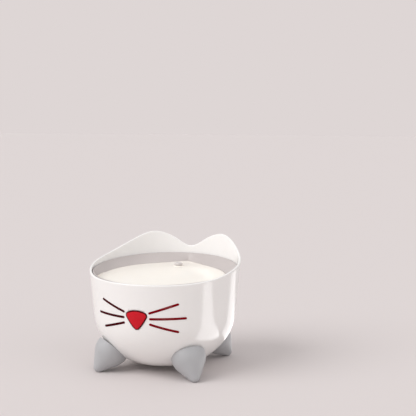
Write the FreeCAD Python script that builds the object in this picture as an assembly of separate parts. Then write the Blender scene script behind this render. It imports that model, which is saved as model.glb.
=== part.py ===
import FreeCAD, Part
import math
import os

# Pet water fountain: a drafted bowl with two ears in its rim, four cone feet, a lift-out drinking dish with a
# sloping collar, a filter cartridge under the dish and a small submersible pump that feeds a nozzle.
# Millimetres. +Z is up, the nose faces -Y, and the origin is on the floor under the bowl's axis.

# Bowl
RIM_RADIUS = 102.0
RIM_REFERENCE = 137.0
DRAFT = 5.4
WALL = 3.2
CORNER_RADIUS = 75.0
FLAT_RADIUS = 45.0
UNDERSIDE = 8.5
LIP_ROUND = 1.3

# Rim line: its height at the front, the ears' tips and the dip between them
FRONT_EDGE = 126.5
EAR_TIP = 170.0
EAR_DIP = 149.5
EAR_ANGLE = 150.5
RISE_SHAPE = ((0.20, 0.010), (0.38, 0.080), (0.57, 0.262), (0.745, 0.471), (0.89, 0.807))
DROP_SHAPE = ((0.22, 0.095), (0.57, 0.488), (0.80, 0.854))

# Feet
FOOT_CIRCLE = RIM_RADIUS - 8.7
FOOT_TURNS = {"rear_right": 45.0, "rear_left": 135.0, "front_left": 225.0, "front_right": 315.0}
FOOT_LEAN = 30.0
FOOT_FLARE = 29.0
FOOT_TIP = 7.5
FOOT_SHOULDER = 11.5
FOOT_CONE = 18.5
FOOT_PAD_DEPTH = 0.6
FOOT_REACH = 33.5
PEG_RADIUS = 5.0
PEG_START = 30.0
PEG_LENGTH = 16.0
PEG_FIT = 0.1

# Nose window and whiskers on the front wall
NOSE_TOP = 93.4
NOSE_SHOULDER = 88.4
NOSE_TIP = 66.6
NOSE_HALF = 15.6
NOSE_BULGE = 1.6
NOSE_CORNER = 4.2
NOSE_PROUD = 0.9
LENS_FIT = 0.15
LENS_FLANGE = 3.5
LENS_THICKNESS = 1.6
GASKET_THICKNESS = 1.0
WHISKER_WIDTH = 2.4
WHISKER_PROUD = 0.5
WHISKER_ENDS = (((17.6, 90.6), (51.0, 102.0)), ((18.2, 83.1), (58.6, 83.7)), ((18.0, 76.0), (49.8, 66.3)))

# Seat, dish and collar. The dish's edge and the collar's upper edge tilt alike, low at the front.
TRAY_TILT = 3.8
LEDGE_HEIGHT = 115.0
LEDGE_WIDTH = 3.5
LEDGE_THICKNESS = 2.0
SEAT_GAP = 0.2
DISH_FIT = 0.5
FLANGE_THICKNESS = 2.3
BASIN_OFFSET = 13.0
BASIN_RADIUS = RIM_RADIUS - 15.0
BASIN_LIMIT = RIM_RADIUS - 9.5
BASIN_POINT = BASIN_RADIUS + 16.0
BASIN_EDGE = LEDGE_HEIGHT + 7.7
BASIN_RISE = 2.4
BASIN_FLOOR = 2.2
SKIRT_DROP = 1.0
SEAM = 0.3
COLLAR_FIT = 0.8
COLLAR_LAND = 1.5
COLLAR_MIDDLE = BASIN_EDGE + 9.6
DRAIN_OUTER = BASIN_LIMIT - 5.5
DRAIN_LENGTH = 8.0
DRAIN_WIDTH = 6.0
DRAIN_STEP = 10.0
DRAIN_COUNT = 5

# Nozzle and the socket for the riser
NOZZLE_Y = 50.0
NOZZLE_RADIUS = 5.7
NOZZLE_HEIGHT = 3.9
NOZZLE_BORE = 2.2
NOZZLE_STEM = 4.0
STEM_LENGTH = 6.0
NOZZLE_ROUND = 1.3
RUNNING_FIT = 0.05
PAD_RADIUS = 6.9
PAD_HEIGHT = BASIN_EDGE + 5.2
SOCKET_WALL = 2.0
SOCKET_BOTTOM = LEDGE_HEIGHT - 15.0
SOCKET_CEILING = PAD_HEIGHT - STEM_LENGTH - 0.5
SEAL_HEIGHT = 9.0
SEAL_WALL = 2.0

# Filter holder and cartridge
HOLDER_HALF = 38.0
HOLDER_BACK = -30.0
HOLDER_FRONT_RADIUS = BASIN_LIMIT - 2.9
HOLDER_BOTTOM = LEDGE_HEIGHT - 18.0
HOLDER_WALL = 1.8
HOLDER_CORNER = 7.0
CARTRIDGE_FIT = 0.4
CARTRIDGE_BOTTOM = HOLDER_BOTTOM + 0.6
CARTRIDGE_HEIGHT = 15.0
CARTRIDGE_WALL = 1.6
GRILLE_BAR = 2.4
GRILLE_PITCH = 7.2
MEDIA_THICKNESS = 5.5
SOFT_GAP = 0.3
LID_THICKNESS = 1.4
TAB_WIDTH = 14.0
TAB_DROP = 6.0
TAB_THICKNESS = 2.0

# Pump
PUMP_HALF = 19.0
PUMP_FRONT = 1.0
PUMP_BACK = 43.6
PUMP_BOTTOM = 17.0
PUMP_TOP = 63.0
PUMP_WALL = 2.0
PUMP_CORNER = 5.0
ROTOR_HEIGHT = 44.0
VOLUTE_RADIUS = 12.0
VOLUTE_WALL = 1.6
VOLUTE_DEPTH = 13.0
COVER_PLUG = 2.5
COVER_PLATE = 1.6
COVER_FIT = 0.05
CAGE_DEPTH = 6.5
CAGE_WALL = 1.5
CAGE_SLOT = 2.2
CAGE_PITCH = 4.4
INLET_RADIUS = 6.0
WELL_RADIUS = 6.8
WELL_WALL = 1.2
WELL_DEPTH = 32.5
MAGNET_RADIUS = 6.3
MAGNET_LENGTH = 28.0
SHAFT_RADIUS = 1.15
IMPELLER_RADIUS = 10.4
IMPELLER_WIDTH = 6.5
BLADE_COUNT = 6
BLADE_THICKNESS = 1.2
HUB_RADIUS = 3.4
BUSH_RADIUS = 3.0
BUSH_LENGTH = 2.5
SPIGOT_RADIUS = 5.5
SPIGOT_BORE = 3.8
SPIGOT_TOP = 71.0
RISER_WALL = 1.7
RISER_TOP = SOCKET_BOTTOM + 12.0
CUP_RADIUS = 8.0
CUP_X = 10.5
CUP_FRONT = 10.0
CUP_BACK = 33.0
CUP_GAP = 0.1

# Motor and light inside the pump
CORE_LEG = 6.0
CORE_FRONT = 16.0
CORE_BACK = 38.0
CORE_TOP = 52.0
YOKE_BOTTOM = 22.0
YOKE_HEIGHT = 6.0
COIL_HALF = 7.6
COIL_BUILD = 2.4
LIGHT_ROOM = 6.0
BOARD_THICKNESS = 1.2
LED_RADIUS = 2.5
LED_HEIGHT = 54.0
LED_LENGTH = 3.0
PIN_RADIUS = 1.0
PIN_PROUD = 4.0
PIN_X = 8.0
PIN_HEIGHT = 25.0
GLAND_RADIUS = 4.0
GLAND_BORE = 2.6
GLAND_HEIGHT = 9.0
GLAND_X = 0.0
GLAND_Y = 10.0

# Cord outlet in the rear wall
OUTLET_HEIGHT = LEDGE_HEIGHT - 14.0
OUTLET_RADIUS = 5.5
OUTLET_FLANGE = 8.0
OUTLET_FLANGE_THICKNESS = 2.0
OUTLET_BORE = 2.6

V = FreeCAD.Vector
UP = V(0, 0, 1)
BACK = V(0, 1, 0)
SLOPE = math.tan(math.radians(DRAFT))
LEAN = 1 / math.cos(math.radians(DRAFT))
BLANK_TOP = EAR_TIP + 20
FAR = 4 * RIM_RADIUS


def corner_centre():
    """Centre of the arc that is tangent to the drafted wall and meets the edge of the flat underside."""
    cosine = math.cos(math.radians(DRAFT))
    sine = math.sin(math.radians(DRAFT))
    base = RIM_RADIUS - RIM_REFERENCE * SLOPE - CORNER_RADIUS * (sine * SLOPE + cosine)
    a = 1 + SLOPE**2
    b = SLOPE * (base - FLAT_RADIUS) - UNDERSIDE
    c = (base - FLAT_RADIUS) ** 2 + UNDERSIDE**2 - CORNER_RADIUS**2
    height = (-b + math.sqrt(b * b - a * c)) / a
    return base + SLOPE * height, height


ARC_R, ARC_Z = corner_centre()
FLOOR = UNDERSIDE + WALL


def wall_radius(z, inset=0.0):
    """Radius of the drafted wall at a height, moved inwards by inset square to the wall."""
    return RIM_RADIUS + (z - RIM_REFERENCE) * SLOPE - inset * LEAN


def revolved(edges):
    """Solid of revolution about +Z from the edges of a closed profile in the XZ plane."""
    return Part.Face(Part.Wire(edges)).revolve(V(0, 0, 0), UP, 360)


def line(a, b):
    return Part.LineSegment(V(*a), V(*b)).toShape()


def polygon_solid(points):
    """Solid of revolution about +Z from (radius, height) points."""
    corners = [V(r, 0, z) for r, z in points]
    wire = Part.makePolygon(corners + corners[:1])
    return Part.Face(wire).revolve(V(0, 0, 0), UP, 360)


def bowl_form(inset=0.0, top=BLANK_TOP):
    """The bowl's outer form as a full solid up to a height, moved inwards by inset."""
    radius = CORNER_RADIUS - inset
    low = UNDERSIDE + inset
    flat = ARC_R + math.sqrt(radius**2 - (ARC_Z - low) ** 2)

    def on_arc(angle):
        turn = math.radians(angle)
        return V(ARC_R + radius * math.cos(turn), 0, ARC_Z - radius * math.sin(turn))

    start = math.degrees(math.asin((ARC_Z - low) / radius))
    arc = Part.Arc(V(flat, 0, low), on_arc((start + DRAFT) / 2), on_arc(DRAFT)).toShape()
    wall_end = on_arc(DRAFT)
    edges = [
        line((0, 0, low), (flat, 0, low)),
        arc,
        line(wall_end, (wall_radius(top, inset), 0, top)),
        line((wall_radius(top, inset), 0, top), (0, 0, top)),
        line((0, 0, top), (0, 0, low)),
    ]
    return revolved(edges)


def skin(outside, inside):
    """The layer of the bowl between two insets, closed only at the sides and the bottom."""
    return bowl_form(outside).cut(bowl_form(inside, BLANK_TOP + 1))


def rim_points():
    """Angles from the front and heights of the rim on one side, from the front to the dip."""
    points = [(0.0, FRONT_EDGE)]
    points += [(a * EAR_ANGLE, FRONT_EDGE + h * (EAR_TIP - FRONT_EDGE)) for a, h in RISE_SHAPE]
    points += [(EAR_ANGLE, EAR_TIP)]
    fall = 180 - EAR_ANGLE
    points += [(EAR_ANGLE + a * fall, EAR_TIP - h * (EAR_TIP - EAR_DIP)) for a, h in DROP_SHAPE]
    return points + [(180.0, EAR_DIP)]


def rim_curve(radius):
    """Closed smooth curve through the rim line, at one radius."""
    half = rim_points()
    both = half + [(360 - a, h) for a, h in reversed(half[1:-1])]
    places = []
    for angle, height in both:
        turn = math.radians(angle - 90)
        places.append(V(radius * math.cos(turn), radius * math.sin(turn), height))
    curve = Part.BSplineCurve()
    curve.interpolate(Points=places, PeriodicFlag=True)
    return curve.toShape()


def above_rim():
    """Everything over the rim line, to be cut from the bowl."""
    inner = rim_curve(RIM_RADIUS * 0.8)
    outer = rim_curve(RIM_RADIUS * 1.2)
    return Part.makeRuledSurface(inner, outer).extrude(V(0, 0, BLANK_TOP))


def cylinder_y(radius, start, length, z, x=0.0):
    return Part.makeCylinder(radius, length, V(x, start, z), BACK)


def cylinder_z(radius, bottom, top, x=0.0, y=0.0):
    return Part.makeCylinder(radius, top - bottom, V(x, y, bottom), UP)


def box(x0, x1, y0, y1, z0, z1):
    return Part.makeBox(x1 - x0, y1 - y0, z1 - z0, V(x0, y0, z0))


def round_edges(solid, radius, direction):
    """Fillet the straight edges that run along a direction."""
    chosen = []
    for edge in solid.Edges:
        straight = edge.Curve.TypeId == "Part::GeomLine"
        if straight and abs(edge.tangentAt(edge.FirstParameter).dot(direction)) > 0.999:
            chosen.append(edge)
    return solid.makeFillet(radius, chosen)


def turned(shape, angle):
    """A copy turned about +Z."""
    copy = shape.copy()
    copy.rotate(V(0, 0, 0), UP, angle)
    return copy


def mirrored(shape):
    """A copy on the other side of the plane of symmetry."""
    return shape.mirror(V(0, 0, 0), V(1, 0, 0))


# Feet


def foot_frame(s):
    """Point on the foot's axis, in the plane through the bowl's axis, s above the centre of its tip."""
    lean = math.radians(FOOT_LEAN)
    return V(FOOT_CIRCLE - s * math.sin(lean), 0, FOOT_TIP - FOOT_PAD_DEPTH + s * math.cos(lean))


def foot_axis():
    return foot_frame(1).sub(foot_frame(0))


def foot_blank():
    """Round tip, flared cone and round shoulder, turned about the foot's axis and seated against the bowl."""
    flare = math.radians(FOOT_FLARE)
    sine = math.sin(flare)
    cosine = math.cos(flare)

    def tip_point(angle):
        return V(FOOT_TIP * math.cos(angle), 0, FOOT_TIP * math.sin(angle))

    cone_end_r = (FOOT_CONE + FOOT_TIP / sine) * math.tan(flare)
    centre = V(cone_end_r - FOOT_SHOULDER * cosine, 0, FOOT_CONE + FOOT_SHOULDER * sine)

    def shoulder_point(angle):
        return centre + V(FOOT_SHOULDER * math.cos(angle), 0, FOOT_SHOULDER * math.sin(angle))

    last = math.asin(min(1.0, (FOOT_REACH - centre.z) / FOOT_SHOULDER))
    tangent = tip_point(-flare)
    tip = Part.Arc(V(0, 0, -FOOT_TIP), tip_point(-(flare + math.pi / 2) / 2), tangent).toShape()
    cone_end = V(cone_end_r, 0, FOOT_CONE)
    shoulder = Part.Arc(cone_end, shoulder_point((last - flare) / 2), shoulder_point(last)).toShape()
    top = shoulder_point(last)
    edges = [
        tip,
        line(tangent, cone_end),
        shoulder,
        line(top, (0, 0, top.z)),
        line((0, 0, top.z), (0, 0, -FOOT_TIP)),
    ]
    blank = revolved(edges)
    blank.rotate(V(0, 0, 0), BACK, -FOOT_LEAN)
    blank.translate(foot_frame(0))
    return blank


def peg(radius, length):
    """Round peg along the foot's axis, from inside the bowl's wall towards the tip."""
    return Part.makeCylinder(radius, length, foot_frame(PEG_START), foot_axis() * -1)


def foot():
    below_floor = box(-FAR, FAR, -FAR, FAR, -FAR, 0)
    solid = foot_blank().cut(bowl_form()).cut(below_floor)
    return solid.cut(peg(PEG_RADIUS + PEG_FIT, PEG_LENGTH + 1))


# Nose and whiskers


def disc_through(a, b, bulge, grow):
    """Round bar along Y whose rim, before it grows, runs from a to b and bulges to the left of that run."""
    run = b - a
    out = V(-run.z, 0, run.x).normalize()
    radius = (run.Length**2 / 4 + bulge**2) / (2 * bulge)
    centre = (a + b) * 0.5 - out * (radius - bulge)
    return cylinder_y(radius + grow, -FAR / 2, FAR / 2, centre.z, centre.x)


def nose_prism(grow=0.0):
    """Rounded triangle with bulging sides, pointing down: what three round bars have in common."""
    left = V(-NOSE_HALF, 0, NOSE_SHOULDER)
    right = V(NOSE_HALF, 0, NOSE_SHOULDER)
    tip = V(0, 0, NOSE_TIP)
    prism = disc_through(left, right, NOSE_TOP - NOSE_SHOULDER, grow)
    prism = prism.common(disc_through(right, tip, NOSE_BULGE, grow))
    prism = prism.common(disc_through(tip, left, NOSE_BULGE, grow))
    return round_edges(prism, NOSE_CORNER + grow, BACK)


def nose_window():
    """Lens: a plug through the wall and a flange behind the gasket."""
    flange_out = WALL + GASKET_THICKNESS
    plug = skin(-NOSE_PROUD, flange_out + LENS_THICKNESS).common(nose_prism())
    flange = skin(flange_out, flange_out + LENS_THICKNESS).common(nose_prism(LENS_FLANGE))
    return plug.fuse(flange).removeSplitter()


def nose_gasket():
    ring = nose_prism(LENS_FLANGE).cut(nose_prism(LENS_FIT))
    return skin(WALL, WALL + GASKET_THICKNESS).common(ring)


def whiskers():
    """Three raised strips with round ends, on the right side of the nose."""
    strips = []
    for (x0, z0), (x1, z1) in WHISKER_ENDS:
        start = V(x0, -FAR / 2, z0)
        run = V(x1, -FAR / 2, z1) - start
        turn = math.degrees(math.atan2(run.z, run.x))
        bar = Part.makeBox(run.Length, FAR / 2, WHISKER_WIDTH, V(0, 0, -WHISKER_WIDTH / 2))
        bar.rotate(V(0, 0, 0), BACK, -turn)
        bar.translate(start)
        ends = [cylinder_y(WHISKER_WIDTH / 2, -FAR / 2, FAR / 2, z, x) for x, z in ((x0, z0), (x1, z1))]
        strips.append(skin(-WHISKER_PROUD, 0).common(bar.fuse(ends).removeSplitter()))
    return Part.makeCompound(strips)


# Bowl


def reservoir_shell():
    """Drafted bowl with eared rim, inner ledge, pegs for the feet, nose opening and cord outlet."""
    shell = skin(0, WALL)
    ledge_in = wall_radius(LEDGE_HEIGHT, WALL) - LEDGE_WIDTH
    in_wall = WALL / 2
    under = LEDGE_HEIGHT - LEDGE_THICKNESS
    foot_of_ledge = under - LEDGE_WIDTH
    ledge = polygon_solid([
        (wall_radius(LEDGE_HEIGHT, in_wall), LEDGE_HEIGHT),
        (ledge_in, LEDGE_HEIGHT),
        (ledge_in, under),
        (wall_radius(foot_of_ledge, WALL), foot_of_ledge),
        (wall_radius(foot_of_ledge, in_wall), foot_of_ledge),
    ])
    shell = shell.fuse(ledge).cut(above_rim())
    lip = [e for e in shell.Edges if e.BoundBox.ZLength > 20 and e.BoundBox.XLength > RIM_RADIUS]
    shell = shell.makeFillet(LIP_ROUND, lip)
    hollow = bowl_form(WALL)
    pegs = [turned(peg(PEG_RADIUS, PEG_LENGTH).cut(hollow), a) for a in FOOT_TURNS.values()]
    shell = shell.fuse(pegs)
    shell = shell.cut(nose_prism(LENS_FIT))
    hole = cylinder_y(OUTLET_RADIUS, 0, FAR / 2, OUTLET_HEIGHT)
    return shell.cut(hole).removeSplitter()


def cord_grommet():
    """Soft bush in the rear wall, with a flange on each side of it."""
    thick = OUTLET_FLANGE_THICKNESS
    flange = cylinder_y(OUTLET_FLANGE, 0, FAR / 2, OUTLET_HEIGHT)
    outer = skin(-thick, 0).common(flange)
    inner = skin(WALL, WALL + thick).common(flange)
    neck = skin(-thick, WALL + thick).common(cylinder_y(OUTLET_RADIUS, 0, FAR / 2, OUTLET_HEIGHT))
    bore = cylinder_y(OUTLET_BORE, 0, FAR / 2, OUTLET_HEIGHT)
    return neck.fuse([outer, inner]).cut(bore).removeSplitter()


# Dish and collar


def tilt(shape, height):
    """Tip a shape so that it drops towards the front, about the line across the bowl at a height."""
    shape.rotate(V(0, 0, height), V(1, 0, 0), TRAY_TILT)
    return shape


def polar(radius, turn, y=0.0):
    """Point at the basin's edge height, at a turn in radians from +X about a centre on the Y axis."""
    return V(radius * math.cos(turn), y + radius * math.sin(turn), BASIN_EDGE)


def basin_turns(inset):
    """Where the basin's outline changes, as turns about its own centre and about the bowl's axis."""
    radius = BASIN_RADIUS - inset
    limit = BASIN_LIMIT - inset
    cross_y = (radius**2 - limit**2 - BASIN_OFFSET**2) / (2 * BASIN_OFFSET)
    cross_x = math.sqrt(limit**2 - cross_y**2)
    start = math.atan2(cross_y + BASIN_OFFSET, cross_x)
    touch = math.pi / 2 - math.acos(BASIN_RADIUS / BASIN_POINT)
    return start, touch, math.atan2(cross_y, cross_x)


def basin_outline(inset):
    """Tilted outline: an arc near the bowl's wall at the front, a wide arc on each side, a point at the rear."""
    radius = BASIN_RADIUS - inset
    limit = BASIN_LIMIT - inset
    start, touch, cross = basin_turns(inset)
    rear = V(0, radius * BASIN_POINT / BASIN_RADIUS - BASIN_OFFSET, BASIN_EDGE)

    def side(turn):
        return polar(radius, turn, -BASIN_OFFSET)

    wire = Part.Wire([
        Part.Arc(side(start), side((start + touch) / 2), side(touch)).toShape(),
        line(side(touch), rear),
        line(rear, side(math.pi - touch)),
        Part.Arc(side(math.pi - touch), side(math.pi - (start + touch) / 2), side(math.pi - start)).toShape(),
        Part.Arc(side(math.pi - start), V(0, -limit, BASIN_EDGE), side(start)).toShape(),
    ])
    return tilt(wire, BASIN_EDGE)


def basin_prism(inset):
    """Everything over and under the basin's outline."""
    face = Part.Face(basin_outline(inset))
    face.translate(V(0, 0, -BASIN_EDGE))
    return face.extrude(V(0, 0, 2 * BASIN_EDGE))


def crown_form(lower):
    """Everything under the crowned drinking surface, moved down by lower."""
    edge = BASIN_EDGE - lower
    crown = edge + BASIN_RISE
    ball = (BASIN_RADIUS**2 + BASIN_RISE**2) / (2 * BASIN_RISE)
    half = BASIN_RADIUS / 2
    half_height = crown - ball + math.sqrt(ball**2 - half**2)
    far = 2 * BASIN_RADIUS
    edges = [
        line((0, 0, 0), (far, 0, 0)),
        line((far, 0, 0), (far, 0, edge)),
        line((far, 0, edge), (BASIN_RADIUS, 0, edge)),
        Part.Arc(V(BASIN_RADIUS, 0, edge), V(half, 0, half_height), V(0, 0, crown)).toShape(),
        line((0, 0, crown), (0, 0, 0)),
    ]
    form = revolved(edges)
    form.translate(V(0, -BASIN_OFFSET, 0))
    return tilt(form, BASIN_EDGE)


def drain_slots():
    """Round-ended radial slots through the front of the dish, over the cartridge."""
    half = DRAIN_WIDTH / 2
    low = HOLDER_BOTTOM
    high = COLLAR_MIDDLE
    far = DRAIN_OUTER - half
    near = DRAIN_OUTER - DRAIN_LENGTH + half
    slot = box(-half, half, -far, -near, low, high)
    slot = slot.fuse([cylinder_z(half, low, high, 0, -near), cylinder_z(half, low, high, 0, -far)])
    slot = slot.removeSplitter()
    first = -(DRAIN_COUNT - 1) / 2
    return [turned(slot, (first + i) * DRAIN_STEP) for i in range(DRAIN_COUNT)]


FLANGE_BOTTOM = LEDGE_HEIGHT + SEAT_GAP
FLANGE_TOP = FLANGE_BOTTOM + FLANGE_THICKNESS
SOCKET_RADIUS = SPIGOT_RADIUS + RUNNING_FIT + SEAL_WALL


def drinking_dish():
    """Crowned dish with a skirt and a flange, the nozzle's pad and the socket that slips over the riser."""
    inset = WALL + DISH_FIT
    flange = polygon_solid([
        (0, FLANGE_BOTTOM),
        (wall_radius(FLANGE_BOTTOM, inset), FLANGE_BOTTOM),
        (wall_radius(FLANGE_TOP, inset), FLANGE_TOP),
        (0, FLANGE_TOP),
    ])
    skirt = FLANGE_BOTTOM - SKIRT_DROP
    outside = basin_prism(SEAM)
    solid = outside.common(crown_form(0))
    under = basin_prism(SEAM + BASIN_FLOOR).common(crown_form(BASIN_FLOOR))
    crown = solid.cut(under).cut(box(-FAR, FAR, -FAR, FAR, -FAR, skirt))
    pad = cylinder_z(PAD_RADIUS, SOCKET_CEILING, PAD_HEIGHT, 0, NOZZLE_Y)
    socket = cylinder_z(SOCKET_RADIUS + SOCKET_WALL, SOCKET_BOTTOM, PAD_HEIGHT, 0, NOZZLE_Y)
    socket = socket.common(crown_form(0))
    dish = flange.cut(outside).fuse([crown, pad, socket])
    dish = dish.cut(cylinder_z(SOCKET_RADIUS, SOCKET_BOTTOM - 1, SOCKET_CEILING, 0, NOZZLE_Y))
    dish = dish.cut(cylinder_z(NOZZLE_STEM + RUNNING_FIT, SOCKET_CEILING - 1, BLANK_TOP, 0, NOZZLE_Y))
    return dish.cut(drain_slots()).removeSplitter()


def tilted_circle(radius):
    """Five arcs of the collar's upper edge, round in plan, on a plane that drops towards the front."""
    start, touch, cross = basin_turns(0)
    turns = [cross, touch, math.pi / 2, math.pi - touch, math.pi - cross, 2 * math.pi + cross]
    rise = V(0, 0, COLLAR_MIDDLE - BASIN_EDGE)
    arcs = []
    for a, b in zip(turns, turns[1:]):
        arcs.append(Part.Arc(*[polar(radius, t) + rise for t in (a, (a + b) / 2, b)]).toShape())
    return tilt(Part.Wire(arcs), COLLAR_MIDDLE)


def splash_collar():
    """Ring that slopes from its tilted upper edge down to the dish, broad at the rear, narrow at the front."""
    inset = WALL + COLLAR_FIT
    outside = polygon_solid([
        (0, FLANGE_TOP),
        (wall_radius(FLANGE_TOP, inset), FLANGE_TOP),
        (wall_radius(BLANK_TOP, inset), BLANK_TOP),
        (0, BLANK_TOP),
    ])
    over = tilt(box(-FAR, FAR, -FAR, FAR, COLLAR_MIDDLE, COLLAR_MIDDLE + FAR), COLLAR_MIDDLE)
    upper = wall_radius(COLLAR_MIDDLE, inset) - COLLAR_LAND
    funnel = Part.makeLoft([basin_outline(0), tilted_circle(upper)], True, True)
    well = Part.Face(basin_outline(0)).extrude(V(0, 0, -BASIN_EDGE))
    return outside.cut(over).cut(funnel).cut(well).removeSplitter()


def nozzle():
    """Small round button with the outlet in its middle and a stem into the dish."""
    low = PAD_HEIGHT
    head = cylinder_z(NOZZLE_RADIUS, low, low + NOZZLE_HEIGHT, 0, NOZZLE_Y)
    crown = [e for e in head.Edges if e.BoundBox.ZMin > low + NOZZLE_HEIGHT / 2]
    head = head.makeFillet(NOZZLE_ROUND, crown)
    stem = cylinder_z(NOZZLE_STEM, low - STEM_LENGTH, low, 0, NOZZLE_Y)
    bore = cylinder_z(NOZZLE_BORE, low - STEM_LENGTH - 1, low + NOZZLE_HEIGHT + 1, 0, NOZZLE_Y)
    return head.fuse(stem).cut(bore).removeSplitter()


def riser_seal():
    """Rubber bush in the mouth of the dish's socket, round the riser."""
    ring = cylinder_z(SOCKET_RADIUS, SOCKET_BOTTOM, SOCKET_BOTTOM + SEAL_HEIGHT, 0, NOZZLE_Y)
    return ring.cut(cylinder_z(SPIGOT_RADIUS + RUNNING_FIT, 0, BLANK_TOP, 0, NOZZLE_Y))


# Filter


def holder_form(inset, bottom, top):
    """Rectangle with a round front and round corners, moved inwards by inset."""
    half = HOLDER_HALF - inset
    block = box(-half, half, -FAR / 4, HOLDER_BACK - inset, bottom, top)
    block = block.common(cylinder_z(HOLDER_FRONT_RADIUS - inset, bottom, top))
    return round_edges(block, HOLDER_CORNER - inset, UP)


def filter_holder():
    """Open frame under the dish that takes the cartridge from below."""
    frame = holder_form(0, HOLDER_BOTTOM, BASIN_EDGE + BASIN_RISE)
    frame = frame.cut(holder_form(HOLDER_WALL, HOLDER_BOTTOM - 1, COLLAR_MIDDLE))
    return frame.common(crown_form(BASIN_FLOOR))


CARTRIDGE_INSET = HOLDER_WALL + CARTRIDGE_FIT
CARTRIDGE_TOP = CARTRIDGE_BOTTOM + CARTRIDGE_HEIGHT


def grille(bottom, top):
    """Slots along Y across the cartridge, clear of its walls."""
    inset = CARTRIDGE_INSET + CARTRIDGE_WALL + GRILLE_BAR
    field = holder_form(inset, bottom, top)
    count = int(2 * (HOLDER_HALF - inset) // GRILLE_PITCH)
    first = -(count - 1) / 2 * GRILLE_PITCH
    gap = (GRILLE_PITCH - GRILLE_BAR) / 2
    slots = []
    for i in range(count):
        x = first + i * GRILLE_PITCH
        slots.append(box(x - gap, x + gap, -FAR / 4, 0, bottom, top))
    return field.common(Part.makeCompound(slots))


def filter_frame():
    """Tray with a grille floor and a pull tab."""
    tray = holder_form(CARTRIDGE_INSET, CARTRIDGE_BOTTOM, CARTRIDGE_TOP - LID_THICKNESS)
    floor_top = CARTRIDGE_BOTTOM + CARTRIDGE_WALL
    tray = tray.cut(holder_form(CARTRIDGE_INSET + CARTRIDGE_WALL, floor_top, CARTRIDGE_TOP))
    tray = tray.cut(grille(CARTRIDGE_BOTTOM - 1, floor_top + 1))
    back = HOLDER_BACK - CARTRIDGE_INSET
    tab_bottom = CARTRIDGE_BOTTOM - TAB_DROP
    tab = box(-TAB_WIDTH / 2, TAB_WIDTH / 2, back - TAB_THICKNESS, back, tab_bottom, floor_top)
    tab = round_edges(tab, TAB_THICKNESS, BACK)
    return tray.fuse(tab).removeSplitter()


def filter_lid():
    lid = holder_form(CARTRIDGE_INSET, CARTRIDGE_TOP - LID_THICKNESS, CARTRIDGE_TOP)
    return lid.cut(grille(CARTRIDGE_TOP - LID_THICKNESS - 1, CARTRIDGE_TOP + 1))


def filter_pad(bottom, top):
    """Plain soft slab between the cartridge's walls."""
    return holder_form(CARTRIDGE_INSET + CARTRIDGE_WALL + SOFT_GAP, bottom, top)


# Pump

CAVITY_FRONT = PUMP_FRONT - 1
MOTOR_FRONT = PUMP_FRONT + LIGHT_ROOM
MOTOR_BACK = PUMP_BACK - PUMP_WALL
WELL_FRONT = PUMP_BACK - WELL_DEPTH
VOLUTE_BACK = PUMP_BACK + VOLUTE_DEPTH
IMPELLER_FRONT = PUMP_BACK + 1.2


def pump_block(inset, front, back):
    block = box(-PUMP_HALF + inset, PUMP_HALF - inset, front, back, PUMP_BOTTOM + inset, PUMP_TOP - inset)
    return round_edges(block, PUMP_CORNER - inset, BACK)


def rotor_well(radius, front):
    return cylinder_y(radius, front, PUMP_BACK - front, ROTOR_HEIGHT)


def pump_housing():
    """Box open at the front, with the rotor's well, the volute ring and the outlet spigot at the rear."""
    chamber = cylinder_y(VOLUTE_RADIUS, PUMP_BACK, VOLUTE_DEPTH, ROTOR_HEIGHT)
    ring = cylinder_y(VOLUTE_RADIUS + VOLUTE_WALL, PUMP_BACK, VOLUTE_DEPTH, ROTOR_HEIGHT).cut(chamber)
    spigot = cylinder_z(SPIGOT_RADIUS, ROTOR_HEIGHT, SPIGOT_TOP, 0, NOZZLE_Y).cut(chamber)
    body = pump_block(0, PUMP_FRONT, PUMP_BACK).cut(pump_block(PUMP_WALL, CAVITY_FRONT, MOTOR_BACK))
    body = body.fuse(rotor_well(WELL_RADIUS + WELL_WALL, WELL_FRONT - WELL_WALL))
    body = body.cut(cylinder_y(WELL_RADIUS, WELL_FRONT, WELL_DEPTH + 1, ROTOR_HEIGHT))
    body = body.fuse([ring, spigot])
    body = body.cut(cylinder_z(SPIGOT_BORE, ROTOR_HEIGHT, SPIGOT_TOP + 1, 0, NOZZLE_Y))
    for x, y in cup_places():
        body = body.cut(cylinder_z(CUP_RADIUS / 3, PUMP_BOTTOM - 1, PUMP_BOTTOM + PUMP_WALL + 1, x, y))
    gland = cylinder_z(GLAND_RADIUS, PUMP_TOP - PUMP_WALL - 1, PUMP_TOP + 1, GLAND_X, GLAND_Y)
    return body.cut(gland).removeSplitter()


def cup_places():
    return [(x, y) for x in (-CUP_X, CUP_X) for y in (CUP_FRONT, CUP_BACK)]


def suction_cups():
    """Four rubber cups, each with a neck through the housing's floor."""
    low = FLOOR + CUP_GAP
    neck = CUP_RADIUS / 3
    top = PUMP_BOTTOM + PUMP_WALL
    middle = (low + PUMP_BOTTOM) / 2
    cup = polygon_solid([
        (0, middle),
        (CUP_RADIUS - 1, low),
        (CUP_RADIUS, low),
        (neck + 1, PUMP_BOTTOM),
        (neck, PUMP_BOTTOM),
        (neck, top),
        (0, top),
    ])
    cups = []
    for x, y in cup_places():
        one = cup.copy()
        one.translate(V(x, y, 0))
        cups.append(one)
    return Part.makeCompound(cups)


def motor_core():
    """Stack of U-shaped laminations: two poles beside the rotor and a yoke below it."""
    inner = WELL_RADIUS + WELL_WALL
    outer = inner + CORE_LEG
    stack = box(-outer, outer, CORE_FRONT, CORE_BACK, YOKE_BOTTOM, CORE_TOP)
    gap_half = COIL_HALF + 1
    yoke_top = YOKE_BOTTOM + YOKE_HEIGHT
    gap = box(-gap_half, gap_half, CORE_FRONT - 1, CORE_BACK + 1, yoke_top, CORE_TOP + 1)
    return stack.cut(gap).cut(cylinder_y(inner, CORE_FRONT - 1, CORE_BACK, ROTOR_HEIGHT))


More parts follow.
